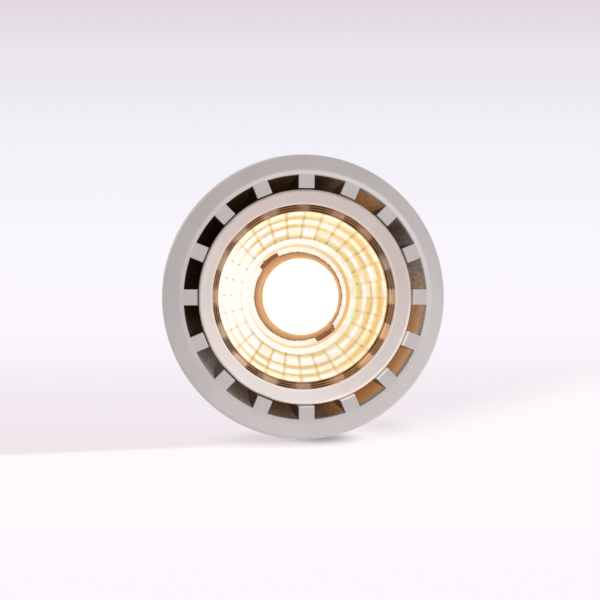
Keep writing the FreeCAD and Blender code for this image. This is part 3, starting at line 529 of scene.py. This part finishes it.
THREAD_RATE = 15.5
# Painted light and shade in the cover's edge: pale behind the ribs, dark between them, with glints on the
# fine rings.
pale_side = levels(tree, turn, (0.2, 0.0), (0.34, 1.0), (0.64, 1.0), (0.76, 0.0))
upper_left = levels(tree, turn, (0.44, 0.0), (0.52, 1.0), (0.68, 1.0), (0.75, 0.0))
slow_turn = noise(tree, places["Point"], 0.22, 2.0)
ragged = shake(tree, shake(tree, from_rib(tree, turn), grain["Grain"], 0.3), slow_turn, 0.35)
ragged = calc(tree, "MULTIPLY_ADD", pale_side, -0.05, ragged)
at_rib = blend(tree, pale_side, linear(156, 122, 104), linear(214, 180, 150))
between_ribs = blend(tree, upper_left, linear(66, 30, 16), linear(136, 84, 52))
painted_edge_light = blend(tree, fade(tree, ragged, 0.1, 0.27), at_rib, between_ribs)
ring_glint = fade(tree, waves(tree, radius, THREAD_RATE), 0.0, 0.9, 0.0, 0.7)
painted_edge_light = blend(tree, ring_glint, painted_edge_light, linear(206, 160, 104))
front = product(tree, fade(tree, radius, *COVER_EDGE), fade(tree, depth, 3.6, 3.3))
emit(tree, shader, blend(tree, front, BLACK, painted_edge_light), 0.55)
dress(cover, "front_lens")

# %% [markdown]
# ## The lit LED
# The LED's face is one disc of phosphor, brighter than anything round it, so it shows as plain white with a
# thin tan border. The dam round it and the copper board behind it take its warm light, the more the nearer
# they are.

# %% The LED's face
DISC_EDGE = (6.78, 6.86)
light_face, tree, shader, places, grain = start("light_surface", 8.0, 0.4)
shader.inputs["Base Color"].default_value = linear(255, 236, 180)
shader.inputs["Roughness"].default_value = 0.5
shine = blend(tree, product(tree, grain["Grain"], 0.1), linear(255, 255, 252), linear(255, 250, 236))
shine = blend(tree, fade(tree, places["Radius"], *DISC_EDGE), shine, linear(150, 108, 66))
emit(tree, shader, shine, 1.5)
dress(light_face, "cob_phosphor")

# %% What the LED lights
DAM_EDGE = (8.25, 7.9)
LIGHT_REACH = (10.5, 8.0)


def warm_lit(name, cool, warm, strength, grain_scale, roughness, *names):
    """A finish that sits in the LED's light: a base colour tinted by that warm light as painted light, and a
    warm emission, both with grain.
    """
    material, tree, shader, places, grain = start(name, grain_scale, 0.5)
    tones(tree, shader, grain, cool, warm)
    gloss(tree, shader, grain, roughness, roughness + 0.15)
    relief(tree, shader, grain["Grain"], 0.01)
    mottled = blend(tree, product(tree, grain["Tone"], 0.35), linear(*warm), linear(*cool))
    mottled = blend(tree, fade(tree, places["Radius"], *DAM_EDGE), mottled, linear(228, 176, 128))
    reached = fade(tree, places["Radius"], *LIGHT_REACH)
    emit(tree, shader, blend(tree, reached, BLACK, mottled), strength)
    dress(material, *names)


# These base colours carry the LED's warm tint as painted light.
warm_lit("board_coat", (120, 72, 50), (150, 94, 66), 0.6, 6.0, 0.4, "cob_board")
warm_lit("ceramic", (128, 78, 54), (158, 100, 70), 0.64, 9.0, 0.5, "cob_substrate")
warm_lit("dam_silicone", (150, 108, 74), (216, 166, 116), 0.66, 7.0, 0.3, "cob_dam")
warm_lit("screw_steel", (190, 176, 160), (170, 150, 126), 0.3, 9.0, 0.3, "led_screws")

# %% [markdown]
# ## The reflector's facets
# The bowl is a metallised moulding. Three rows of 28 pillowed facets step down to two smooth rings round
# the LED. One circle of 28 points is extruded row by row, which keeps each facet's corners in line, and
# then each facet is divided so that its middle can be pushed out. Each pair below is a radius and a depth
# behind the face.

# %% Reflector facets
ROWS = [(15.1, 4.15), (14.0, 5.5), (12.6, 6.9), (10.7, 8.65)]
RINGS = [(10.68, 8.66), (9.35, 9.7), (7.85, 10.7)]
FACETS = 28
FACET_CUTS = 5
FIRST_SEAM = math.radians(1.1)

bowl = bmesh.new()
bmesh.ops.create_circle(bowl, segments=FACETS, radius=ROWS[0][0] * MM)
bmesh.ops.translate(bowl, verts=bowl.verts, vec=(0.0, 0.0, ROWS[0][1] * MM))
edges = list(bowl.edges)
for (before, _), (after, level) in zip(ROWS, ROWS[1:]):
    stretched = bmesh.ops.extrude_edge_only(bowl, edges=edges)["geom"]
    corners = [item for item in stretched if isinstance(item, bmesh.types.BMVert)]
    edges = [item for item in stretched if isinstance(item, bmesh.types.BMEdge)]
    bmesh.ops.scale(bowl, verts=corners, vec=(after / before, after / before, 1.0))
    for corner in corners:
        corner.co.z = level * MM
bmesh.ops.subdivide_edges(bowl, edges=bowl.edges, cuts=FACET_CUTS, use_grid_fill=True)
print("facets and their divisions:", len(bowl.faces))

# %% [markdown]
# ## Pillows
# A facet of such a moulding is not flat: its middle swells a fifth of a millimetre, out and back, and its
# borders stay in place. A share times what is left of it, along the row and across it, gives exactly that
# swell.


# %% Pillows
def row_share(level):
    """Where a depth lies in its row of facets, from 0 at the row's front to 1 at its back."""
    for (_, front), (_, back) in zip(ROWS, ROWS[1:]):
        if level <= back * MM + 1e-9:
            return (level / MM - front) / (back - front)
    return 1.0


PILLOW = 0.22 * MM
SWELL_OUT, SWELL_BACK = 0.75, 0.66
for corner in bowl.verts:
    share = row_share(corner.co.z)
    facet = math.atan2(corner.co.y, corner.co.x) / math.tau * FACETS % 1.0
    lift = PILLOW * 16.0 * share * (1.0 - share) * facet * (1.0 - facet)
    outwards = Vector((corner.co.x, corner.co.y, 0.0)).normalized()
    corner.co += lift * (outwards * SWELL_OUT + Vector((0.0, 0.0, SWELL_BACK)))
bmesh.ops.rotate(bowl, verts=bowl.verts, cent=(0.0, 0.0, 0.0), matrix=Matrix.Rotation(FIRST_SEAM, 3, "Z"))
print("points in the pillowed rows:", len(bowl.verts))

# %% [markdown]
# ## Smooth rings and notches
# The rings at the bowl's foot are a short line spun round the axis. Two notches over the leads let them
# pass: the rings are cut along each notch's three planes, and the faces between the cuts are taken out.

# %% Smooth rings and notches
SPIN_STEPS = 140
NOTCH_HALF = 2.0 * MM
NOTCH_LEVEL = 9.98 * MM
NOTCH_DIRECTIONS = (54.5, 230.0)

rings_mesh = bmesh.new()
profile = [rings_mesh.verts.new((across * MM, 0.0, level * MM)) for across, level in RINGS]
lines = [rings_mesh.edges.new(pair) for pair in zip(profile, profile[1:])]
bmesh.ops.subdivide_edges(rings_mesh, edges=lines, cuts=2)
bmesh.ops.spin(rings_mesh, geom=rings_mesh.verts[:] + rings_mesh.edges[:], cent=(0, 0, 0), axis=(0, 0, 1),
               angle=math.tau, steps=SPIN_STEPS, use_merge=True)
taken = 0
for direction in NOTCH_DIRECTIONS:
    along = Vector((math.cos(math.radians(direction)), math.sin(math.radians(direction)), 0.0))
    across = Vector((-along.y, along.x, 0.0))
    for place, normal in ((across * NOTCH_HALF, across), (-across * NOTCH_HALF, across),
                          (Vector((0.0, 0.0, NOTCH_LEVEL)), Vector((0.0, 0.0, 1.0)))):
        everything = rings_mesh.verts[:] + rings_mesh.edges[:] + rings_mesh.faces[:]
        bmesh.ops.bisect_plane(rings_mesh, geom=everything, plane_co=place, plane_no=normal, dist=1e-7)
    middles = [(face, face.calc_center_median()) for face in rings_mesh.faces]
    notch = [face for face, middle in middles
             if abs(middle.dot(across)) < NOTCH_HALF and middle.dot(along) > 0.0 and middle.z > NOTCH_LEVEL]
    taken += len(notch)
    bmesh.ops.delete(rings_mesh, geom=notch, context="FACES")
print("faces taken out for the notches:", taken)

# %% [markdown]
# ## The reflector in one piece
# Rows and rings become one mesh, turned so that its faces look at the axis. Gentle bends are shaded smooth
# and the borders of the facets stay sharp. A Solidify gives the wall its thickness on the outside, away
# from the light.

# %% Reflector in one piece
WALL = 0.45
SHARP = math.radians(8.0)

ring_data = bpy.data.meshes.new("rings")
rings_mesh.to_mesh(ring_data)
rings_mesh.free()
bowl.from_mesh(ring_data)
bpy.data.meshes.remove(ring_data)
bmesh.ops.recalc_face_normals(bowl, faces=bowl.faces)
spread = sum(face.normal.xy.dot(face.calc_center_median().xy) for face in bowl.faces)
if spread > 0.0:
    bmesh.ops.reverse_faces(bowl, faces=bowl.faces)
for edge in bowl.edges:
    edge.smooth = edge.calc_face_angle(0.0) < SHARP
reflector_data = bpy.data.meshes.new("reflector_bowl")
bowl.to_mesh(reflector_data)
bowl.free()
for polygon in reflector_data.polygons:
    polygon.use_smooth = True
reflector = placed("reflector_bowl", reflector_data)
shell = reflector.modifiers.new("wall", "SOLIDIFY")
shell.thickness = WALL * MM
shell.offset = -1.0
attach(reflector, "root")
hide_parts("reflector")
print("faces in the reflector:", len(reflector_data.polygons))

# %% [markdown]
# ## The reflector's coat
# A real one is a mirror that shows the LED many times over. What the eye sees is cream-white facets with
# amber seams between them, deeper amber on the side that the camera looks into, and a blown-out white on
# the other side. The mirror alone gives that only with a long render, so the coat carries the LED's light
# as an emission that follows the rows and facets by radius and turn. It starts from two lists of rings, one
# for the deep amber side and one for the light side, with radii shaken a little by the grain.

# %% Reflector coat: rings of light
CREAM = linear(255, 249, 220)
WHITE = linear(255, 255, 252)
PALE_AMBER = linear(250, 232, 180)
YELLOW = linear(244, 225, 158)
AMBER = linear(238, 198, 130)
ORANGE = linear(222, 172, 108)
SEAM = linear(208, 164, 98)
OLIVE = linear(136, 118, 60)
COPPER = linear(136, 104, 84)
SHADE = linear(76, 44, 26)
INNERMOST, BREADTH = 7.4, 8.2


def light_rings(tree, share, *rings):
    """A ramp of coloured rings from pairs of (radius, colour)."""
    return ramp(tree, share, [((ring - INNERMOST) / BREADTH, colour) for ring, colour in rings])


coat, tree, shader, places, grain = start("reflector_coat", 3.0, 0.6)
radius, turn = places["Radius"], places["Turn"]
shaken = shake(tree, radius, grain["Grain"], 0.55)
share = calc(tree, "DIVIDE", calc(tree, "SUBTRACT", shaken, INNERMOST), BREADTH)
deep = light_rings(
    tree, share, (8.0, COPPER), (8.1, CREAM), (8.65, WHITE), (8.84, ORANGE), (9.3, AMBER), (9.52, WHITE),
    (10.28, CREAM), (10.48, YELLOW), (11.3, YELLOW), (11.48, WHITE), (11.9, WHITE), (12.1, AMBER),
    (12.82, AMBER), (12.98, WHITE), (13.5, CREAM), (13.72, AMBER), (14.55, AMBER), (14.78, CREAM),
    (14.95, CREAM), (15.06, ORANGE))
light = light_rings(
    tree, share, (8.05, COPPER), (8.18, CREAM), (8.9, WHITE), (9.15, PALE_AMBER), (9.28, AMBER),
    (9.45, CREAM), (9.8, WHITE), (10.45, WHITE), (10.6, SEAM), (10.8, PALE_AMBER), (11.1, CREAM),
    (11.4, WHITE), (12.35, WHITE), (12.6, SEAM), (12.85, PALE_AMBER), (13.15, CREAM), (13.35, WHITE),
    (13.75, WHITE), (13.95, SEAM), (14.2, PALE_AMBER), (14.6, CREAM), (14.8, WHITE), (15.0, CREAM),
    (15.07, AMBER))
deep_side = levels(tree, turn, (0.0, 1.0), (0.1, 0.9), (0.17, 0.5), (0.26, 0.1), (0.36, 0.0), (0.68, 0.0),
                   (0.78, 0.25), (0.88, 0.7), (0.95, 1.0), (1.0, 1.0))
bowl_light = blend(tree, deep_side, light, deep)
print("rings of light reach from", INNERMOST, "to", INNERMOST + BREADTH, "mm")

# %% [markdown]
# ## Cells
# Turn and radius also number the facets. Two random values for each number make some facets warmer and some
# brighter, and give each its own bar of amber or yellow-green along its inner border. Towards its corners
# each pillow bends away and turns amber.


# %% Reflector coat: facets
def fade_line(tree, value, start, end):
    """A straight climb of a value from 0 to 1 between start and end."""
    feeds = {"Value": value, "From Min": start, "From Max": end}
    return add(tree, "ShaderNodeMapRange", feeds).outputs["Result"]


ROW_BORDERS = (10.7, 12.62, 13.97, 15.12)
along_facets = product(tree, calc(tree, "SUBTRACT", turn, FIRST_SEAM / math.tau), FACETS)
from_middle = off_middle(tree, along_facets)
in_rows = fade(tree, radius, 10.6, 10.8)
row_number = calc(tree, "ADD", calc(tree, "GREATER_THAN", radius, ROWS[2][0]),
                  calc(tree, "GREATER_THAN", radius, ROWS[1][0]))
cell = add(tree, "ShaderNodeCombineXYZ", {0: calc(tree, "FLOOR", along_facets), 1: row_number}).outputs[0]
moved = vector(tree, "ADD", cell, (17.0, 5.0, 3.0))
chance = add(tree, "ShaderNodeTexWhiteNoise", {"Vector": cell}).outputs["Value"]
second_chance = add(tree, "ShaderNodeTexWhiteNoise", {"Vector": moved}).outputs["Value"]

row_place = fade_line(tree, radius, *ROW_BORDERS[:2])
for borders in (ROW_BORDERS[1:3], ROW_BORDERS[2:]):
    row_place = calc(tree, "ADD", row_place, fade_line(tree, radius, *borders))
across_row = off_middle(tree, row_place)
print("cells of light:", FACETS * (len(ROW_BORDERS) - 1))

# %% Reflector coat: light in the facets
corner = calc(tree, "ADD", calc(tree, "POWER", from_middle, 3.0), calc(tree, "POWER", across_row, 3.0))
corner = shake(tree, corner, grain["Grain"], 0.09)
pillow = product(tree, fade(tree, corner, 0.05, 0.17), in_rows)
bowl_light = blend(tree, product(tree, pillow, 0.62), bowl_light, AMBER)
warm_cell = product(tree, fade(tree, chance, 0.55, 1.0), in_rows, 0.55)
bowl_light = blend(tree, warm_cell, bowl_light, PALE_AMBER)
bright_cell = product(tree, fade(tree, chance, 0.4, 0.0), in_rows, 0.5)
bowl_light = blend(tree, bright_cell, bowl_light, WHITE)

past_blown = levels(tree, turn, (0.36, 1.0), (0.46, 0.0), (0.6, 0.0), (0.68, 1.0))
bar_end = fade(tree, second_chance, 0.0, 1.0, 0.2, 0.42)
bar = calc(tree, "SUBTRACT", bar_end, calc(tree, "FRACT", row_place))
bar = product(tree, fade(tree, bar, 0.0, 0.1), product(tree, in_rows, past_blown),
              fade(tree, second_chance, 0.15, 0.75, 0.1, 0.75))
bar_colour = blend(tree, chance, linear(232, 196, 134), linear(214, 202, 134))
bowl_light = blend(tree, bar, bowl_light, bar_colour)
print("nodes in the coat so far:", len(tree.nodes))

# %% [markdown]
# ## Seams, knots and the blown-out side
# Seams between facets are amber lines of uneven width. Where a seam meets the border of a row, the mirror
# shows the dark room, as a small olive knot, and some knots are fainter than others. On the left the light
# is blown out and only the knots are left of the pattern. The flange outside the rows has fine copper
# rings.

# %% Reflector coat: seams
uneven = fade(tree, grain["Grain"], 0.35, 0.65, 0.25, 0.4)
seam = product(tree, fade(tree, from_middle, uneven, 0.495), in_rows,
               calc(tree, "MULTIPLY_ADD", deep_side, -0.35, 0.66),
               fade(tree, grain["Tone"], 0.1, 0.9, 0.5, 1.1))
bowl_light = blend(tree, seam, bowl_light, SEAM)
patches = fade(tree, grain["Tone"], 0.45, 0.8)
bowl_light = blend(tree, product(tree, patches, deep_side, 0.35), bowl_light, AMBER)
blown = levels(tree, turn, (0.36, 0.0), (0.45, 0.8), (0.5, 1.0), (0.57, 1.0), (0.63, 0.0))
past_foot = fade(tree, radius, 8.1, 8.9)
bowl_light = blend(tree, product(tree, blown, past_foot, 0.96), bowl_light, WHITE)
print("nodes in the coat so far:", len(tree.nodes))

# %% Reflector coat: knots
KNOT_RADII = (13.95, 12.62, 10.72)
near_border = [calc(tree, "ABSOLUTE", calc(tree, "SUBTRACT", shaken, border)) for border in KNOT_RADII]
nearest = calc(tree, "MINIMUM", near_border[0], calc(tree, "MINIMUM", near_border[1], near_border[2]))
knot = product(tree, fade(tree, nearest, 0.42, 0.08), fade(tree, from_middle, 0.38, 0.49))
broken = fade(tree, chance, 0.3, 0.9, 0.08, 0.75)
broken = calc(tree, "MAXIMUM", broken, product(tree, blown, fade(tree, second_chance, 0.2, 0.8, 0.35, 0.8)))
faint = calc(tree, "MULTIPLY_ADD", blown, -0.25, 1.0)
bowl_light = blend(tree, product(tree, knot, product(tree, broken, faint)), bowl_light, OLIVE)
print("borders with knots:", len(near_border))

# %% Reflector coat: flange and finish
flange = blend(tree, fade(tree, from_rib(tree, turn), 0.12, 0.3), COPPER, SHADE)
fine_rings = fade(tree, waves(tree, radius, THREAD_RATE), 0.0, 0.9, 0.0, 0.5)
flange = blend(tree, fine_rings, flange, ORANGE)
emit(tree, shader, blend(tree, fade(tree, radius, 15.08, 15.14), bowl_light, flange), 0.97)
shader.inputs["Base Color"].default_value = linear(110, 90, 62)
shader.inputs["Metallic"].default_value = 1.0
gloss(tree, shader, grain, 0.16, 0.28)
reflector_data.materials.append(coat)
print("nodes in the finished coat:", len(tree.nodes))

# %% [markdown]
# ## The cap and its pins
# The cap is white glossy thermoplastic with a faint moulding grain and a slow random change of tone.
# The pins are turned and nickel plated: fine turning rings go round each pin's own axis, so each has its
# own material.

# %% Cap
cap, tree, shader, places, grain = start("cap_plastic", 3.5, 0.1)
tones(tree, shader, grain, (236, 234, 229), (228, 225, 218))
gloss(tree, shader, grain, 0.26, 0.36)
relief(tree, shader, grain["Grain"], 0.006)
dress(cap, "base_housing")


# %% Pins
PIN_OFFSET = 5.0


def pin_metal(name, across):
    """Nickel plate with turning rings round a pin that stands at x = across millimetres."""
    material, tree, shader, places, grain = start(name, 7.0, 0.3)
    from_pin = vector(tree, "SUBTRACT", places["Point"], (across, 0.0, 0.0))
    from_axis = vector(tree, "LENGTH", vector(tree, "MULTIPLY", from_pin, FLAT))
    turning = waves(tree, calc(tree, "ADD", from_axis, places["Depth"]), 60.0)
    tones(tree, shader, grain, (212, 207, 198), (202, 197, 187))
    shader.inputs["Metallic"].default_value = 1.0
    gloss(tree, shader, grain, 0.2, 0.34)
    relief(tree, shader, calc(tree, "MULTIPLY_ADD", grain["Grain"], 0.25, product(tree, turning, 0.2)), 0.004)
    return material


dress(pin_metal("pin_metal_left", -PIN_OFFSET), "contact_pin_left")
dress(pin_metal("pin_metal_right", PIN_OFFSET), "contact_pin_right")

# %% [markdown]
# ## Parts inside the closed housing
# Nothing of the driver shows on a whole lamp, but a viewer may open the model, so each part has a plain
# finish of its own: two tones of a colour, a grain and a gloss.


# %% Inner parts
def inner_finish(name, first, second, grain_scale, roughness, *names):
    """A finish of two tones with grain, for parts that the housing hides."""
    material, tree, shader, places, grain = start(name, grain_scale, 0.4)
    tones(tree, shader, grain, first, second)
    gloss(tree, shader, grain, roughness, roughness + 0.15)
    relief(tree, shader, grain["Grain"], 0.01)
    dress(material, *names)


inner_finish("pad_silicone", (178, 182, 188), (164, 168, 174), 5.0, 0.7, "thermal_pad")
# The leads' copper-brown base colours are painted warm light; the negative lead is a black wire.
warm_lit("lead_red", (150, 92, 62), (170, 112, 80), 0.55, 4.0, 0.35, "led_wire_positive")
warm_lit("lead_black", (120, 78, 54), (160, 106, 76), 0.55, 4.0, 0.35, "led_wire_negative")
inner_finish("sleeve_plastic", (228, 228, 224), (220, 219, 213), 3.0, 0.45, "driver_sleeve")
inner_finish("circuit_board", (46, 120, 62), (40, 108, 56), 6.0, 0.35, "driver_board")
inner_finish("capacitor_sleeve", (38, 44, 66), (30, 34, 54), 4.0, 0.25, "bulk_capacitor")
inner_finish("film_case", (176, 66, 44), (158, 56, 38), 4.0, 0.3, "film_capacitor")
inner_finish("chip_plastic", (44, 44, 48), (36, 36, 40), 8.0, 0.55, "bridge_rectifier", "control_chip")
inner_finish("fuse_coat", (120, 152, 132), (108, 138, 120), 6.0, 0.5, "fuse_resistor")
inner_finish("ferrite", (72, 72, 74), (58, 58, 60), 7.0, 0.6, "transformer_core")
inner_finish("winding_tape", (226, 196, 70), (212, 180, 60), 2.0, 0.3, "transformer_winding")
inner_finish("mains_insulation", (232, 232, 228), (224, 223, 218), 4.0, 0.4,
             "mains_wire_left", "mains_wire_right")

# %% [markdown]
# ## Floor
# Seen from above, the lamp stands on its face on a plain pale floor. The main view looks up through that
# floor at the face, so the floor only exists for camera rays that meet its upper side. Near the lamp it is
# matt paint that takes the shadow. Farther out it gains some light of its own and melts into the backdrop's
# tone, so that no horizon shows.

# %% Floor: a wide disc
FLOOR_RADIUS = 4.0
floor_mesh = bmesh.new()
bmesh.ops.create_circle(floor_mesh, cap_ends=True, segments=64, radius=FLOOR_RADIUS)
bmesh.ops.translate(floor_mesh, verts=floor_mesh.verts, vec=(0.0, 0.0, -0.03 * MM))
bmesh.ops.recalc_face_normals(floor_mesh, faces=floor_mesh.faces)
if floor_mesh.faces[:][0].normal.z < 0.0:
    bmesh.ops.reverse_faces(floor_mesh, faces=floor_mesh.faces)
floor_data = bpy.data.meshes.new("floor")
floor_mesh.to_mesh(floor_data)
floor_mesh.free()
floor = placed("floor", floor_data)
print("floor across:", 2.0 * FLOOR_RADIUS, "m")

# %% Floor: its paint
BACKDROP = linear(250, 247, 251)
GAINS_LIGHT = (0.022, 0.06)
MELTS_AWAY = (0.08, 0.4)
floor_paint = bpy.data.materials.new("floor")
floor_paint.use_nodes = True
tree = floor_paint.node_tree
tree.nodes.clear()
output = add(tree, "ShaderNodeOutputMaterial")
spot = add(tree, "ShaderNodeTexCoord").outputs["Object"]
reach = vector(tree, "LENGTH", spot)
matt = add(tree, "ShaderNodeBsdfDiffuse", {"Color": linear(238, 235, 238)}).outputs[0]
own_strength = fade(tree, reach, *GAINS_LIGHT, 0.0, 0.3)
own_light = add(tree, "ShaderNodeEmission", {"Color": BACKDROP, "Strength": own_strength}).outputs[0]
near = add(tree, "ShaderNodeAddShader", {0: matt, 1: own_light}).outputs[0]
far = add(tree, "ShaderNodeEmission", {"Color": BACKDROP, "Strength": 1.0}).outputs[0]
painted = add(tree, "ShaderNodeMixShader", {0: fade(tree, reach, *MELTS_AWAY), 1: near, 2: far}).outputs[0]
camera_ray = add(tree, "ShaderNodeLightPath").outputs["Is Camera Ray"]
upper = calc(tree, "SUBTRACT", 1.0, add(tree, "ShaderNodeNewGeometry").outputs["Backfacing"])
clear = add(tree, "ShaderNodeBsdfTransparent").outputs[0]
where = product(tree, camera_ray, upper)
shown = add(tree, "ShaderNodeMixShader", {0: where, 1: clear, 2: painted}).outputs[0]
put(tree, output.inputs["Surface"], shown)
floor_data.materials.append(floor_paint)
print("nodes in the floor's paint:", len(tree.nodes))

# %% [markdown]
# ## Light
# Plain soft light from four square lamps. Two stand in front of the face, one to the right of the camera
# and a weaker one below it. Two stand above the floor for the lamp's sides and cap: a very large one on the
# left, because a small one would leave a hard bright line along the rim, and a weak one on the right.


# %% Lamps
LAMP_AIM = Vector((0.0, 0.0, 0.02))


def soft_lamp(name, place, size, power):
    """A square soft lamp that shines at the middle of the part."""
    data = bpy.data.lights.new(name, "AREA")
    data.size = size
    data.energy = power
    lamp = placed(name, data)
    lamp.location = place
    lamp.rotation_euler = (LAMP_AIM - lamp.location).to_track_quat("-Z", "Y").to_euler()
    print(name, "is", size, "m wide and shines with", power, "W")


soft_lamp("face_right", (0.40, 0.10, -0.42), 0.4, 1.0)
soft_lamp("face_low", (-0.10, 0.45, -0.30), 0.4, 0.7)
soft_lamp("above_left", (-0.55, -0.65, 0.75), 1.0, 6.4)
soft_lamp("above_right", (0.70, 0.45, 0.55), 0.6, 1.6)

# %% [markdown]
# ## The backdrop of the main view
# In the main view the camera looks straight up, and the world shows the photograph's studio there: a pale
# sweep that greys towards the top, and a table whose near part is lit by the lamp itself. It is drawn by
# direction. The direction is turned into a column and a row of the picture, and these place each tone.

# %% World: picture coordinates
world = bpy.data.worlds.new("studio")
world.use_nodes = True
bpy.context.scene.world = world
tree = world.node_tree
tree.nodes.clear()
direction = add(tree, "ShaderNodeTexCoord").outputs["Generated"]


def along_axis(axis):
    """How far the view direction goes along an axis."""
    return vector(tree, "DOT_PRODUCT", direction, tuple(axis))


onward = calc(tree, "MAXIMUM", along_axis(ahead), 0.2)
column = calc(tree, "DIVIDE", along_axis(sideways), onward)
column = calc(tree, "MULTIPLY_ADD", column, FOCAL_PIXELS, PICTURE / 2)
row = calc(tree, "DIVIDE", along_axis(upwards), onward)
row = calc(tree, "MULTIPLY_ADD", row, -FOCAL_PIXELS, PICTURE / 2)
print("middle of the picture:", PICTURE / 2)

# %% World: sweep and table
EDGE_START, EDGE_SLANT = 455.3, -0.042
EDGE_BENDS = ((320.0, 0.12), (440.0, 0.14))
SWEEP = [(0.0, (227, 217, 225)), (0.1, (235, 230, 238)), (0.25, (243, 242, 249)), (0.42, (250, 247, 253)),
         (0.55, (251, 246, 253)), (0.68, (242, 234, 240)), (0.75, (240, 231, 237))]
down = calc(tree, "DIVIDE", row, PICTURE)
sweep = ramp(tree, down, [(place, linear(*colour)) for place, colour in SWEEP], "EASE")
edge_row = calc(tree, "MULTIPLY_ADD", column, EDGE_SLANT, EDGE_START)
for bend, drop in EDGE_BENDS:
    past_bend = calc(tree, "MAXIMUM", calc(tree, "SUBTRACT", column, bend), 0.0)
    edge_row = calc(tree, "SUBTRACT", edge_row, product(tree, past_bend, drop))
softness = fade(tree, column, 150.0, 520.0, 2.0, 22.0)
past_edge = calc(tree, "DIVIDE", calc(tree, "SUBTRACT", row, edge_row), softness)
table = blend(tree, fade(tree, row, 450.0, 600.0), linear(254, 249, 252), linear(253, 248, 254))
studio = blend(tree, fade(tree, past_edge, -1.0, 1.0), sweep, table)
print("the table's edge starts at row", EDGE_START)

# %% [markdown]
# ## The soft shadow under the rim
# In the photograph the rim stands on the table and leaves a soft shadow there, darkest where it touches.
# Three blurred ovals, each wider than high, make it.


# %% World: shadow on the table
def smudge(columns, rows, centre_column, centre_row, weight):
    """A soft oval in the picture, as strong as its weight in its middle."""
    a = calc(tree, "DIVIDE", calc(tree, "SUBTRACT", column, centre_column), columns)
    b = calc(tree, "DIVIDE", calc(tree, "SUBTRACT", row, centre_row), rows)
    off_centre = calc(tree, "SQRT", calc(tree, "MULTIPLY_ADD", a, a, calc(tree, "MULTIPLY", b, b)))
    return product(tree, fade(tree, off_centre, 1.0, 0.0), weight)


studio = blend(tree, smudge(95.0, 11.0, 285.0, 439.0, 0.75), studio, linear(206, 196, 198))
studio = blend(tree, smudge(46.0, 8.0, 322.0, 438.0, 0.8), studio, linear(140, 131, 133))
studio = blend(tree, smudge(40.0, 12.0, 385.0, 426.0, 0.4), studio, linear(214, 205, 208))
print("nodes in the world so far:", len(tree.nodes))

# %% [markdown]
# ## The room
# Camera, mirror and glass rays see the studio in the main view, one pale tone above the floor in every
# other view, and a darker room below it, which gives metal something dark to mirror. All other rays get
# light: an even pale grey from below, and from above a sky that is brighter on one side, so that the lamp's
# round body is shaded.

# %% World: what is seen and what gives light
BRIGHT_SIDE = (-0.64, -0.77, 0.0)
in_picture = fade(tree, along_axis(ahead), 0.85, 0.93)
seen = blend(tree, in_picture, BACKDROP, studio)
height = add(tree, "ShaderNodeSeparateXYZ", {0: direction}).outputs[2]
seen = blend(tree, fade(tree, height, -0.12, -0.5), seen, linear(96, 92, 94))
brighter = fade(tree, along_axis(BRIGHT_SIDE), -1.0, 1.0)
sky = blend(tree, brighter, linear(104, 104, 110), linear(172, 171, 173))
even = blend(tree, fade(tree, height, -0.08, 0.3), linear(224, 222, 224), sky)
path = add(tree, "ShaderNodeLightPath").outputs
sees = calc(tree, "MAXIMUM", path["Is Camera Ray"],
            calc(tree, "MAXIMUM", path["Is Glossy Ray"], path["Is Transmission Ray"]))
background = add(tree, "ShaderNodeBackground", {"Color": blend(tree, sees, even, seen), "Strength": 1.0})
add(tree, "ShaderNodeOutputWorld", {"Surface": background.outputs[0]})
print("nodes in the world:", len(tree.nodes))

# %% [markdown]
# ## Finish
# Colours are shown as they are written.

# %% Finish
bpy.context.scene.view_settings.view_transform = "Standard"
